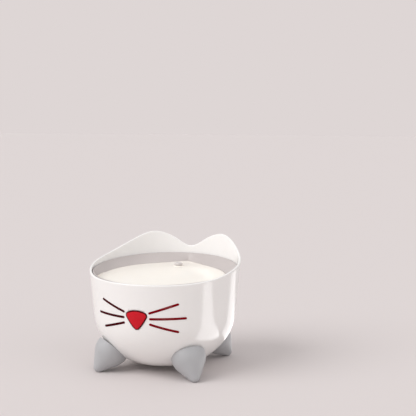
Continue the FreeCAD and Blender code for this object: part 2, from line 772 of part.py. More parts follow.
def motor_coil():
    """Bobbin and winding round the yoke."""
    low = YOKE_BOTTOM - COIL_BUILD
    high = YOKE_BOTTOM + YOKE_HEIGHT + COIL_BUILD
    coil = box(-COIL_HALF, COIL_HALF, CORE_FRONT - COIL_BUILD, CORE_BACK + COIL_BUILD, low, high)
    coil = round_edges(coil, COIL_BUILD * 0.9, V(1, 0, 0))
    yoke = box(-FAR, FAR, CORE_FRONT, CORE_BACK, YOKE_BOTTOM, YOKE_BOTTOM + YOKE_HEIGHT)
    return coil.cut(yoke)


def motor_potting(core, coil):
    """Cast resin round the motor, behind the light's room."""
    block = pump_block(PUMP_WALL, MOTOR_FRONT, MOTOR_BACK)
    block = block.cut(rotor_well(WELL_RADIUS + WELL_WALL, WELL_FRONT - WELL_WALL))
    return block.cut([core, coil])


def pin_rods(front, length):
    return [cylinder_y(PIN_RADIUS, front, length, PIN_HEIGHT, x) for x in (-PIN_X, PIN_X)]


def light_window():
    """Clear cover over the light's room, with holes for the level pins."""
    plate = pump_block(PUMP_WALL, PUMP_FRONT, PUMP_FRONT + PUMP_WALL)
    return plate.cut(pin_rods(-FAR, 2 * FAR))


BOARD_FRONT = MOTOR_FRONT - BOARD_THICKNESS


def light_board():
    board = pump_block(PUMP_WALL + SEAM, BOARD_FRONT, MOTOR_FRONT)
    return board.cut(pin_rods(-FAR, 2 * FAR))


def light_emitter():
    """Round light emitter with a domed end."""
    straight = LED_LENGTH - LED_RADIUS / 2
    body = cylinder_y(LED_RADIUS, BOARD_FRONT - straight, straight, LED_HEIGHT)
    end = [e for e in body.Edges if e.BoundBox.YMax < BOARD_FRONT - straight / 2]
    return body.makeFillet(LED_RADIUS * 0.4, end)


def level_pins():
    """Two metal pins from the motor's front out through the window."""
    front = PUMP_FRONT - PIN_PROUD
    return Part.makeCompound(pin_rods(front, MOTOR_FRONT - front))


def cord_gland():
    """Rubber sleeve where the cord enters the pump, with a shoulder on the housing."""
    low = PUMP_TOP - PUMP_WALL
    sleeve = cylinder_z(GLAND_RADIUS, low, PUMP_TOP + GLAND_HEIGHT, GLAND_X, GLAND_Y)
    shoulder = cylinder_z(GLAND_RADIUS + 1.5, PUMP_TOP, PUMP_TOP + 1.5, GLAND_X, GLAND_Y)
    bore = cylinder_z(GLAND_BORE, 0, BLANK_TOP, GLAND_X, GLAND_Y)
    return sleeve.fuse(shoulder).cut(bore).removeSplitter()


def riser_tube():
    """Tube that sleeves over the spigot and then carries the spigot's own size up to the dish."""
    sleeve = SPIGOT_RADIUS + RUNNING_FIT
    wide_top = SPIGOT_TOP + RISER_WALL
    tube = cylinder_z(sleeve + RISER_WALL, PUMP_TOP, wide_top, 0, NOZZLE_Y)
    tube = tube.cut(cylinder_z(sleeve, PUMP_TOP - 1, SPIGOT_TOP, 0, NOZZLE_Y))
    upper = cylinder_z(SPIGOT_RADIUS, SPIGOT_TOP, RISER_TOP, 0, NOZZLE_Y)
    return tube.fuse(upper).cut(cylinder_z(SPIGOT_BORE, 0, BLANK_TOP, 0, NOZZLE_Y)).removeSplitter()


def pump_cover():
    """Plug, plate and slotted cage over the pump's inlet, with a holder for the rear bush."""
    face = VOLUTE_BACK
    outer = VOLUTE_RADIUS + VOLUTE_WALL
    plug = cylinder_y(VOLUTE_RADIUS - COVER_FIT, face - COVER_PLUG, COVER_PLUG, ROTOR_HEIGHT)
    plate = cylinder_y(outer, face, COVER_PLATE, ROTOR_HEIGHT)
    cage = cylinder_y(outer, face + COVER_PLATE, CAGE_DEPTH, ROTOR_HEIGHT)
    room = cylinder_y(outer - CAGE_WALL, face + COVER_PLATE, CAGE_DEPTH - CAGE_WALL, ROTOR_HEIGHT)
    cover = plug.fuse([plate, cage.cut(room)])
    through = COVER_PLUG + COVER_PLATE
    inlet = cylinder_y(INLET_RADIUS, face - COVER_PLUG, through, ROTOR_HEIGHT)
    hub = cylinder_y(BUSH_RADIUS + 1, face - COVER_PLUG, through, ROTOR_HEIGHT)
    spoke_low = ROTOR_HEIGHT - INLET_RADIUS
    spoke = box(-1, 1, face - COVER_PLUG, face + COVER_PLATE, spoke_low, spoke_low + 2 * INLET_RADIUS)
    cross = spoke.copy()
    cross.rotate(V(0, 0, ROTOR_HEIGHT), BACK, 90)
    cover = cover.cut(inlet.cut([hub, spoke, cross]))
    cover = cover.cut(cylinder_y(BUSH_RADIUS, face - COVER_PLUG, BUSH_LENGTH, ROTOR_HEIGHT))
    count = int(2 * (VOLUTE_RADIUS - CAGE_WALL) // CAGE_PITCH)
    first = -(count - 1) / 2 * CAGE_PITCH
    field = cylinder_y(VOLUTE_RADIUS - CAGE_WALL, face + COVER_PLATE, CAGE_DEPTH + 1, ROTOR_HEIGHT)
    for i in range(count):
        x = first + i * CAGE_PITCH
        slot = box(x - CAGE_SLOT / 2, x + CAGE_SLOT / 2, face + CAGE_DEPTH / 2, FAR, 0, BLANK_TOP)
        cover = cover.cut(slot.common(field))
    return cover.removeSplitter()


def pump_foam():
    """Coarse sponge in the cage."""
    radius = VOLUTE_RADIUS + VOLUTE_WALL - CAGE_WALL - SOFT_GAP
    depth = CAGE_DEPTH - CAGE_WALL - 2 * SOFT_GAP
    return cylinder_y(radius, VOLUTE_BACK + COVER_PLATE + SOFT_GAP, depth, ROTOR_HEIGHT)


def shaft_bush(front):
    ring = cylinder_y(BUSH_RADIUS, front, BUSH_LENGTH, ROTOR_HEIGHT)
    return ring.cut(cylinder_y(SHAFT_RADIUS + RUNNING_FIT, front - 1, BUSH_LENGTH + 2, ROTOR_HEIGHT))


def impeller_shaft():
    back = VOLUTE_BACK - COVER_PLUG + BUSH_LENGTH - SEAM
    return cylinder_y(SHAFT_RADIUS, WELL_FRONT, back - WELL_FRONT, ROTOR_HEIGHT)


MAGNET_FRONT = WELL_FRONT + BUSH_LENGTH + SEAM


def on_shaft(solid):
    """Bore a turning piece to run on the shaft."""
    return solid.cut(cylinder_y(SHAFT_RADIUS + RUNNING_FIT, 0, FAR, ROTOR_HEIGHT))


def rotor_magnet():
    return on_shaft(cylinder_y(MAGNET_RADIUS, MAGNET_FRONT, MAGNET_LENGTH, ROTOR_HEIGHT))


def impeller():
    """Hub with straight blades and a collar against the magnet."""
    start = MAGNET_FRONT + MAGNET_LENGTH
    end = IMPELLER_FRONT + IMPELLER_WIDTH
    hub = cylinder_y(HUB_RADIUS, start, end - start, ROTOR_HEIGHT)
    blade = box(-BLADE_THICKNESS / 2, BLADE_THICKNESS / 2, IMPELLER_FRONT, end, 0, IMPELLER_RADIUS)
    blades = []
    for i in range(BLADE_COUNT):
        one = blade.copy()
        one.rotate(V(0, 0, 0), BACK, i * 360 / BLADE_COUNT)
        one.translate(V(0, 0, ROTOR_HEIGHT))
        blades.append(one)
    return on_shaft(hub.fuse(blades).removeSplitter())


def build():
    """Every piece by its name."""
    core = motor_core()
    coil = motor_coil()
    lid_bottom = CARTRIDGE_TOP - LID_THICKNESS
    media_bottom = CARTRIDGE_BOTTOM + CARTRIDGE_WALL + SOFT_GAP
    media_top = media_bottom + MEDIA_THICKNESS
    right_whiskers = whiskers()
    pieces = {
        "reservoir_shell": reservoir_shell(),
        "nose_window": nose_window(),
        "nose_gasket": nose_gasket(),
        "whiskers_right": right_whiskers,
        "whiskers_left": mirrored(right_whiskers),
        "cord_grommet": cord_grommet(),
        "drinking_dish": drinking_dish(),
        "splash_collar": splash_collar(),
        "filter_holder": filter_holder(),
        "riser_seal": riser_seal(),
        "nozzle": nozzle(),
        "filter_frame": filter_frame(),
        "filter_lid": filter_lid(),
        "filter_carbon": filter_pad(media_bottom, media_top),
        "filter_fleece": filter_pad(media_top + SOFT_GAP, lid_bottom - SOFT_GAP),
        "pump_housing": pump_housing(),
        "suction_cups": suction_cups(),
        "motor_core": core,
        "motor_coil": coil,
        "motor_potting": motor_potting(core, coil),
        "light_window": light_window(),
        "light_board": light_board(),
        "light_emitter": light_emitter(),
        "level_pins": level_pins(),
        "cord_gland": cord_gland(),
        "riser_tube": riser_tube(),
        "impeller_shaft": impeller_shaft(),
        "front_bush": shaft_bush(WELL_FRONT),
        "rear_bush": shaft_bush(VOLUTE_BACK - COVER_PLUG),
        "pump_cover": pump_cover(),
        "pump_foam": pump_foam(),
        "rotor_magnet": rotor_magnet(),
        "impeller": impeller(),
    }
    one_foot = foot()
    for place, angle in FOOT_TURNS.items():
        pieces["foot_" + place] = turned(one_foot, angle)
    return pieces


os.makedirs("parts", exist_ok=True)
for piece_name, shape in build().items():
    shape.exportStep("parts/" + piece_name + ".step")
    print(piece_name, len(shape.Solids), round(shape.Volume), shape.isValid())
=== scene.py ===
import logging
import math
from dataclasses import dataclass, field
from enum import Enum
from typing import Callable

import bmesh
import bpy
from mathutils import Matrix, Vector, noise


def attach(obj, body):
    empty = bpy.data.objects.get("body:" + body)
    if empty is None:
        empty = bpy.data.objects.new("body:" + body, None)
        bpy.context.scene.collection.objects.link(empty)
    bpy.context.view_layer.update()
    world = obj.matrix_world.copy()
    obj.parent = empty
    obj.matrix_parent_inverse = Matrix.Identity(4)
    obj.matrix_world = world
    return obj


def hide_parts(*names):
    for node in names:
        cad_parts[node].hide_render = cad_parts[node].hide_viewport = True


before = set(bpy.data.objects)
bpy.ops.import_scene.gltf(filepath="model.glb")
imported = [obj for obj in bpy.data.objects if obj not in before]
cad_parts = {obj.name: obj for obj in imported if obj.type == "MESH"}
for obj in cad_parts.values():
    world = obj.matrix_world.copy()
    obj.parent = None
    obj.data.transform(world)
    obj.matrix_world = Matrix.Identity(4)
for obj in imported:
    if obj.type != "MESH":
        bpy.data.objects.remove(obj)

LOG = logging.getLogger("fountain")
MM = 0.001
ON_AXIS = 1e-7
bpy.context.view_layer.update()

Point = tuple[float, float]
Shaper = Callable[[float, float, float], Point]


# Finishes


def linear(hex_colour: str, alpha: float = 1.0) -> tuple[float, float, float, float]:
    """Turn an sRGB hex colour to linear light.

    Args:
        hex_colour: Six hex digits, such as "F4F2EE".
        alpha: Opacity put beside the colour.

    Returns:
        Red, green, blue and alpha.
    """
    parts = []
    for start in (0, 2, 4):
        value = int(hex_colour[start : start + 2], 16) / 255
        parts.append(value / 12.92 if value <= 0.04045 else ((value + 0.055) / 1.055) ** 2.4)
    return (parts[0], parts[1], parts[2], alpha)


def add_node(tree: bpy.types.NodeTree, kind: str, settings: dict | None = None, **links: object) -> bpy.types.Node:
    """Add a node, set its values and join its inputs.

    Args:
        tree: The material's node tree.
        kind: Blender's class name of the node.
        settings: Attributes, or inputs by name or number, with their values.
        links: Input names, with underscores for spaces, and the output socket that feeds each.

    Returns:
        The new node.
    """
    node = tree.nodes.new(kind)
    for key, value in (settings or {}).items():
        if isinstance(key, int) or key in node.inputs:
            node.inputs[key].default_value = value
        else:
            setattr(node, key, value)
    for key, socket in links.items():
        tree.links.new(socket, node.inputs[key.replace("_", " ")])
    return node


class Grain(Enum):
    """How a surface was left by the way it was made."""

    POLISHED_MOULD = "polished mould"
    SPARK_MOULD = "spark-eroded mould"
    FELTED = "felted fibres"
    CELLULAR = "open cells"
    DRAWN = "drawn or ground"


@dataclass(frozen=True)
class Finish:
    """One real material with its surface.

    The two tones are mixed by a soft cloud, as resin and dust vary on a moulding. Grain gives the bump.
    """

    name: str
    tone: str
    second_tone: str
    roughness: float
    grain: Grain
    grain_mm: float = 0.6
    bump: float = 0.05
    metallic: float = 0.0
    ior: float = 1.5
    coat: float = 0.0
    subsurface: float = 0.0
    transmission: float = 0.0
    sheen: float = 0.0
    cloud_mm: float = 35.0
    roughness_spread: float = 0.04

    def material(self) -> bpy.types.Material:
        """Build the material once and hand it out again by name.

        Returns:
            The node-based material.
        """
        known = bpy.data.materials.get(self.name)
        if known:
            return known
        made = bpy.data.materials.new(self.name)
        made.use_nodes = True
        tree = made.node_tree
        shader = tree.nodes["Principled BSDF"]
        place = add_node(tree, "ShaderNodeTexCoord").outputs["Object"]
        cloud = add_node(tree, "ShaderNodeTexNoise", {"Scale": 1 / (self.cloud_mm * MM), "Detail": 3.0}, Vector=place)
        tint = add_node(tree, "ShaderNodeMix", {"data_type": "RGBA"})
        tint.inputs[6].default_value = linear(self.tone)
        tint.inputs[7].default_value = linear(self.second_tone)
        tree.links.new(cloud.outputs["Fac"], tint.inputs["Factor"])
        tree.links.new(tint.outputs[2], shader.inputs["Base Color"])
        spread = add_node(
            tree,
            "ShaderNodeMapRange",
            {"To Min": self.roughness - self.roughness_spread, "To Max": self.roughness + self.roughness_spread},
            Value=cloud.outputs["Fac"],
        )
        tree.links.new(spread.outputs["Result"], shader.inputs["Roughness"])
        height = self.height(tree, place)
        bump = add_node(
            tree, "ShaderNodeBump", {"Strength": self.bump, "Distance": self.grain_mm * MM * 0.3}, Height=height
        )
        tree.links.new(bump.outputs["Normal"], shader.inputs["Normal"])
        shader.inputs["Metallic"].default_value = self.metallic
        shader.inputs["IOR"].default_value = self.ior
        shader.inputs["Coat Weight"].default_value = self.coat
        shader.inputs["Coat Roughness"].default_value = 0.06
        shader.inputs["Subsurface Weight"].default_value = self.subsurface
        shader.inputs["Subsurface Radius"].default_value = (1.0, 0.9, 0.8)
        shader.inputs["Subsurface Scale"].default_value = 1.5 * MM
        shader.inputs["Transmission Weight"].default_value = self.transmission
        shader.inputs["Sheen Weight"].default_value = self.sheen
        return made

    def height(self, tree: bpy.types.NodeTree, place: bpy.types.NodeSocket) -> bpy.types.NodeSocket:
        """Build the grain's height field.

        Args:
            tree: The material's node tree.
            place: Object coordinates.

        Returns:
            The socket with the height.
        """
        scale = 1 / (self.grain_mm * MM)
        if self.grain is Grain.CELLULAR:
            cells = add_node(tree, "ShaderNodeTexVoronoi", {"Scale": scale}, Vector=place)
            return cells.outputs["Distance"]
        if self.grain is Grain.DRAWN:
            along = add_node(tree, "ShaderNodeMapping", {"Scale": (1.0, 0.08, 1.0)}, Vector=place)
            streaks = add_node(tree, "ShaderNodeTexNoise", {"Scale": scale, "Detail": 2.0}, Vector=along.outputs[0])
            return streaks.outputs["Fac"]
        detail = 8.0 if self.grain is Grain.FELTED else 2.0
        noise = add_node(tree, "ShaderNodeTexNoise", {"Scale": scale, "Detail": detail}, Vector=place)
        return noise.outputs["Fac"]


# Glossy white ABS from a polished mould: clear reflections of the lamps, with a trace of flow ripple.
SHELL_ABS = Finish(
    "white_abs_polished", "F3F1EF", "EFEDEB", 0.16, Grain.POLISHED_MOULD, 9.0, 0.02, subsurface=0.05, coat=0.25
)
# The dish is the same resin, a little warmer; its tone is also painted lighter than the shell's, a painted sheen for
# the water's film.
DISH_ABS = Finish(
    "warm_white_abs_dish", "FBF6EE", "F6F0E6", 0.2, Grain.POLISHED_MOULD, 7.0, 0.03, subsurface=0.06, coat=0.3
)
# Pale grey ABS with a satin face that keeps reflections soft.
COLLAR_ABS = Finish("grey_abs_satin", "C2BAB8", "B8B0AE", 0.36, Grain.SPARK_MOULD, 0.5, 0.06)
# Red tinted acrylic: deep even colour with faint highlights.
LENS_ACRYLIC = Finish("red_acrylic_lens", "D20F22", "B80A1C", 0.14, Grain.POLISHED_MOULD, 5.0, 0.02, ior=1.34)
# Painted shade: a dark maroon band round the lens's border stands for the shade where the lens sits in its recess in
# the wall.
LENS_EDGE_SHADE = Finish("lens_edge_painted_shade", "5C0812", "4A060E", 0.4, Grain.POLISHED_MOULD, 5.0, 0.02, ior=1.05)
# Whiskers: nearly matt maroon ABS strips in one material; the right set is dark red, and the left set's almost-black
# copy is painted shade.
WHISKER_ABS = Finish("maroon_abs_strip", "8A0A18", "760814", 0.35, Grain.POLISHED_MOULD, 4.0, 0.02, ior=1.1)
SHADED_WHISKER_ABS = Finish("whisker_strip_painted_shade", "4E0812", "3A060D", 0.35, Grain.POLISHED_MOULD, 4.0, 0.02, ior=1.1)
# The outlet button's resin is toned pale grey, a little darker than the dish.
BUTTON_ABS = Finish("pale_grey_abs_button", "D8D2D0", "CEC8C6", 0.25, Grain.POLISHED_MOULD, 5.0, 0.02, coat=0.15)
# Feet: grey thermoplastic rubber, soft and fine-grained, with broad dull highlights.
FOOT_RUBBER = Finish("grey_soft_rubber", "B2B2B4", "A7A7A9", 0.5, Grain.SPARK_MOULD, 0.7, 0.12, ior=1.52, sheen=0.1)
SEAL_RUBBER = Finish("black_nitrile_rubber", "2A2A2B", "232324", 0.6, Grain.SPARK_MOULD, 0.6, 0.12)
GROMMET_RUBBER = Finish("grey_silicone_rubber", "9A9898", "8E8C8C", 0.55, Grain.SPARK_MOULD, 0.6, 0.1)
FILTER_PLASTIC = Finish("white_polypropylene", "E9E8E4", "E1E0DC", 0.42, Grain.SPARK_MOULD, 0.5, 0.06, subsurface=0.1)
CARBON_FELT = Finish("carbon_felt", "1C1C1E", "121213", 0.9, Grain.FELTED, 0.8, 0.6)
FLEECE = Finish("polyester_fleece", "F0EFEA", "E4E3DD", 0.92, Grain.FELTED, 1.1, 0.6, sheen=0.3)
PUMP_PLASTIC = Finish("charcoal_abs_satin", "3A3C3F", "323437", 0.4, Grain.SPARK_MOULD, 0.5, 0.08)
CORE_STEEL = Finish("laminated_steel", "7C7D80", "6C6D70", 0.35, Grain.DRAWN, 0.5, 0.2, metallic=1.0)
COIL_COPPER = Finish("lacquered_copper", "B5683A", "9C5229", 0.3, Grain.DRAWN, 0.4, 0.4, metallic=1.0)
POTTING = Finish("black_epoxy", "131314", "0E0E0F", 0.15, Grain.POLISHED_MOULD, 6.0, 0.05)
WINDOW_CLEAR = Finish(
    "clear_polycarbonate", "EEF3F4", "E8EEF0", 0.05, Grain.POLISHED_MOULD, 6.0, 0.02, ior=1.58, transmission=0.9
)
BOARD_MASK = Finish("green_solder_mask", "1D6B3A", "185C31", 0.3, Grain.POLISHED_MOULD, 2.0, 0.08)
EMITTER_EPOXY = Finish("cast_clear_epoxy", "F4EFDD", "EFE9D4", 0.1, Grain.POLISHED_MOULD, 3.0, 0.02, transmission=0.5)
PIN_STEEL = Finish("drawn_stainless", "C4C5C7", "B4B5B8", 0.22, Grain.DRAWN, 0.4, 0.1, metallic=1.0)
SHAFT_CERAMIC = Finish("ground_alumina", "EFEAE0", "E8E2D6", 0.3, Grain.DRAWN, 0.4, 0.05, ior=1.76)
FERRITE = Finish("sintered_ferrite", "2B2B2E", "222225", 0.5, Grain.SPARK_MOULD, 0.5, 0.1, metallic=0.6)
SPONGE = Finish("charcoal_sponge", "2E3033", "1F2123", 0.95, Grain.CELLULAR, 1.6, 0.9)


# Shapes


def linked(name: str, data: bpy.types.ID) -> bpy.types.Object:
    """Put data into the scene as an object at the origin."""
    item = bpy.data.objects.new(name, data)
    bpy.context.scene.collection.objects.link(item)
    return item


def finished(bm: bmesh.types.BMesh, name: str, finish: Finish, sharp_degrees: float = 40.0) -> bpy.types.Object:
    """Turn a bmesh into a smooth-shaded object with its finish.

    Args:
        bm: The mesh, which is freed.
        name: The object's name.
        finish: Its material.
        sharp_degrees: Edges that turn more than this stay crisp.

    Returns:
        The object, at the origin.
    """
    mesh = bpy.data.meshes.new(name)
    bm.to_mesh(mesh)
    bm.free()
    for polygon in mesh.polygons:
        polygon.use_smooth = True
    mesh.set_sharp_from_angle(angle=math.radians(sharp_degrees))
    mesh.materials.append(finish.material())
    return linked(name, mesh)


def arc(centre: Point, radius: float, start: float, end: float, steps: int) -> list[Point]:
    """Points on an arc, both ends included.

    Args:
        centre: Radius and height of its centre.
        radius: Its own radius.
        start: First angle in degrees, 0 outwards and 90 up.
        end: Last angle in degrees.
        steps: Number of stretches.

    Returns:
        Radius and height of each point.
    """
    points = []
    for i in range(steps + 1):
        turn = math.radians(start + (end - start) * i / steps)
        points.append((centre[0] + radius * math.cos(turn), centre[1] + radius * math.sin(turn)))
    return points


def divided(a: Point, b: Point, steps: int) -> list[Point]:
    """Points from a up to, but not with, b."""
    return [(a[0] + (b[0] - a[0]) * i / steps, a[1] + (b[1] - a[1]) * i / steps) for i in range(steps)]


def spun(outline: list[Point], steps: int, shaper: Shaper | None = None, closed: bool = False) -> bmesh.types.BMesh:
    """Spin an outline in millimetres about +Z, then move its points by a rule.

    Args:
        outline: Radius and height of each point, outside first and inside last.
        steps: Number of steps round the axis.
        shaper: Gives a point's new radius and height from its old ones and its angle from the front.
        closed: Whether the outline's last point joins its first.

    Returns:
        The closed mesh in metres.
    """
    bm = bmesh.new()
    verts = [bm.verts.new((0.0, -r, z)) for r, z in outline]
    edges = [bm.edges.new(pair) for pair in zip(verts, verts[1:])]
    if closed:
        edges.append(bm.edges.new((verts[-1], verts[0])))
    bmesh.ops.spin(
        bm, geom=verts + edges, cent=(0, 0, 0), axis=(0, 0, 1), angle=math.tau, steps=steps, use_merge=True
    )
    bmesh.ops.remove_doubles(bm, verts=bm.verts, dist=1e-4)
    bmesh.ops.recalc_face_normals(bm, faces=bm.faces)
    for vert in bm.verts:
        r = math.hypot(vert.co.x, vert.co.y)
        angle = math.atan2(vert.co.x, -vert.co.y)
        z = vert.co.z
        if shaper:
            r, z = shaper(r, z, angle)
        vert.co = Vector((r * math.sin(angle), -r * math.cos(angle), z)) * MM
    return bm


def periodic_spline(stations: list[Point]) -> Callable[[float], float]:
    """Smooth closed curve through heights at angles, with an even slope and bend at every station.

    Args:
        stations: Angle in degrees and height, rising from 0 and below 360.

    Returns:
        A function of the angle in radians that gives the height.
    """
    count = len(stations)
    turns = [math.radians(a) for a, _ in stations] + [math.tau]
    heights = [h for _, h in stations] + [stations[0][1]]
    gaps = [turns[i + 1] - turns[i] for i in range(count)]
    slopes = [(heights[i + 1] - heights[i]) / gaps[i] for i in range(count)]
    bends = [0.0] * count
    for _ in range(200):
        for i in range(count):
            before, after = gaps[i - 1], gaps[i]
            rest = 6 * (slopes[i] - slopes[i - 1]) - before * bends[i - 1] - after * bends[(i + 1) % count]
            bends[i] = rest / (2 * (before + after))

    def height(angle: float) -> float:
        """Height at an angle in radians."""
        turn = angle % math.tau
        i = max(k for k in range(count) if turns[k] <= turn)
        gap = gaps[i]
        a = (turns[i + 1] - turn) / gap
        b = 1 - a
        left, right = bends[i], bends[(i + 1) % count]
        return a * heights[i] + b * heights[i + 1] + ((a**3 - a) * left + (b**3 - b) * right) * gap * gap / 6

    return height


def carved(piece: bpy.types.Object, cutters: list[bpy.types.Object]) -> None:
    """Cut other closed meshes out of a piece and remove them.

    Args:
        piece: The object that keeps its name and material.
        cutters: Objects that are used up.
    """
    for cutter in cutters:
        cut = piece.modifiers.new("cut", "BOOLEAN")
        cut.operation = "DIFFERENCE"
        cut.solver = "EXACT"
        cut.object = cutter
    graph = bpy.context.evaluated_depsgraph_get()
    mesh = bpy.data.meshes.new_from_object(piece.evaluated_get(graph))
    piece.modifiers.clear()
    old = piece.data
    piece.data = mesh
    bpy.data.meshes.remove(old)
    mesh.name = piece.name
    for cutter in cutters:
        bpy.data.objects.remove(cutter)


# The bowl


@dataclass
class Bowl:
    """Drafted bowl with an eared rim, an inner ledge and openings for the nose and the cord."""

    rim_radius: float = 102.0
    rim_reference: float = 137.0
    draft: float = 5.4
    wall: float = 3.2
    corner: float = 75.0
    corner_r: float = 21.24
    corner_z: float = 79.64
    underside: float = 8.5
    lip: float = 1.45
    ledge_height: float = 115.0
    ledge_width: float = 3.5
    ledge_thickness: float = 2.0
    blank_top: float = 150.0
    steps: int = 240
    front_edge: float = 126.5
    ear_tip: float = 170.0
    ear_dip: float = 149.5
    ear_angle: float = 150.5
    outlet_height: float = 101.0
    outlet_radius: float = 5.5
    outlet_reach: float = 24.0
    rise: tuple[Point, ...] = ((0.20, 0.010), (0.38, 0.080), (0.57, 0.262), (0.745, 0.471), (0.89, 0.807))
    drop: tuple[Point, ...] = ((0.22, 0.095), (0.57, 0.488), (0.80, 0.854))
    rim_height: Callable[[float], float] = field(init=False)

    def __post_init__(self) -> None:
        """Work out the rim line from its heights."""
        half = [(0.0, self.front_edge)]
        half += [(a * self.ear_angle, self.front_edge + h * (self.ear_tip - self.front_edge)) for a, h in self.rise]
        half.append((self.ear_angle, self.ear_tip))
        fall = 180 - self.ear_angle
        half += [(self.ear_angle + a * fall, self.ear_tip - h * (self.ear_tip - self.ear_dip)) for a, h in self.drop]
        other = [(360 - a, h) for a, h in reversed(half[1:])]
        self.rim_height = periodic_spline(half + [(180.0, self.ear_dip)] + other)

    @property
    def slope(self) -> float:
        """How far the wall leans out for each millimetre of height."""
        return math.tan(math.radians(self.draft))

    def wall_radius(self, z: float, inset: float = 0.0) -> float:
        """Radius of the drafted wall at a height, moved inwards square to the wall."""
        return self.rim_radius + (z - self.rim_reference) * self.slope - inset / math.cos(math.radians(self.draft))

    def radius(self, z: float, inset: float = 0.0) -> float:
        """Radius of the bowl's form at any height."""
        corner = self.corner - inset
        if z > self.corner_z - corner * math.sin(math.radians(self.draft)):
            return self.wall_radius(z, inset)
        return self.corner_r + math.sqrt(max(0.0, corner**2 - (self.corner_z - z) ** 2))

    def side(self, inset: float, top: float) -> list[Point]:
        """Outline from the middle of the underside up to a height, moved inwards by inset."""
        radius = self.corner - inset
        low = self.underside + inset
        start = -math.degrees(math.asin((self.corner_z - low) / radius))
        bend = arc((self.corner_r, self.corner_z), radius, start, -self.draft, 30)
        flat = divided((0.0, low), bend[0], 6)
        return flat + bend[:-1] + divided(bend[-1], (self.wall_radius(top, inset), top), 10)

    def shape(self, r: float, z: float, angle: float) -> Point:
        """Stretch the wall above the ledge up to the rim line."""
        base = self.ledge_height + 2
        shoulder = self.blank_top - self.lip
        if z <= base:
            return r, z
        rim = self.rim_height(angle)
        if z >= shoulder:
            raised = z + rim - self.blank_top
        else:
            raised = base + (z - base) / (shoulder - base) * (rim - self.lip - base)
        return r + (raised - z) * self.slope, raised

    def outline(self) -> list[Point]:
        """Outer side, round lip, inner side with the ledge."""
        base = self.ledge_height + 2
        shoulder = self.blank_top - self.lip
        outer = self.side(0, base)
        outer += divided((self.wall_radius(base), base), (self.wall_radius(shoulder), shoulder), 12)
        middle = (self.wall_radius(shoulder) + self.wall_radius(shoulder, self.wall)) / 2
        half = (self.wall_radius(shoulder) - self.wall_radius(shoulder, self.wall)) / 2
        lip = [
            (middle + half * math.cos(t), shoulder + self.lip * math.sin(t))
            for t in (math.pi * i / 10 for i in range(11))
        ]
        inner_top = (self.wall_radius(shoulder, self.wall), shoulder)
        inner = divided(inner_top, (self.wall_radius(base, self.wall), base), 12)[1:]
        ledge_r = self.wall_radius(self.ledge_height, self.wall) - self.ledge_width
        under = self.ledge_height - self.ledge_thickness
        foot = under - self.ledge_width
        ledge = [
            (self.wall_radius(base, self.wall), base),
            (self.wall_radius(self.ledge_height, self.wall), self.ledge_height),
            (ledge_r + 0.4, self.ledge_height),
            (ledge_r, self.ledge_height - 0.4),
            (ledge_r, under),
        ]
        below = [p for p in reversed(self.side(self.wall, foot))]
        return outer + lip + inner + ledge + [(self.wall_radius(foot, self.wall), foot)] + below

    def build(self, openings: list[bpy.types.Object]) -> bpy.types.Object:
        """Make the shell and cut its openings.

        Args:
            openings: Closed meshes that go through the wall.

        Returns:
            The finished shell.
        """
        shell = finished(spun(self.outline(), self.steps, self.shape), "bowl_shell", SHELL_ABS, 35)
        carved(shell, openings)
        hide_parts("reservoir_shell")
        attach(shell, "bowl")
        return shell

    def cord_opening(self) -> bpy.types.Object:
        """Cutter for the cord's hole in the rear wall."""
        bm = bmesh.new()
        bmesh.ops.create_cone(
            bm,
            cap_ends=True,
            segments=64,
            radius1=self.outlet_radius * MM,
            radius2=self.outlet_radius * MM,
            depth=self.outlet_reach * MM,
        )
        place = Matrix.Translation(Vector((0, self.wall_radius(self.outlet_height), self.outlet_height)) * MM)
        bmesh.ops.transform(bm, matrix=place @ Matrix.Rotation(math.pi / 2, 4, "X"), verts=bm.verts)
        return finished(bm, "cord_cutter", SHELL_ABS)

    def on_wall(self, x: float, z: float, inset: float) -> Vector:
        """Point on the front of the bowl at a width and height, in metres."""
        r = self.radius(z, inset)
        return Vector((x, -math.sqrt(r * r - x * x), z)) * MM


# Nose and whiskers


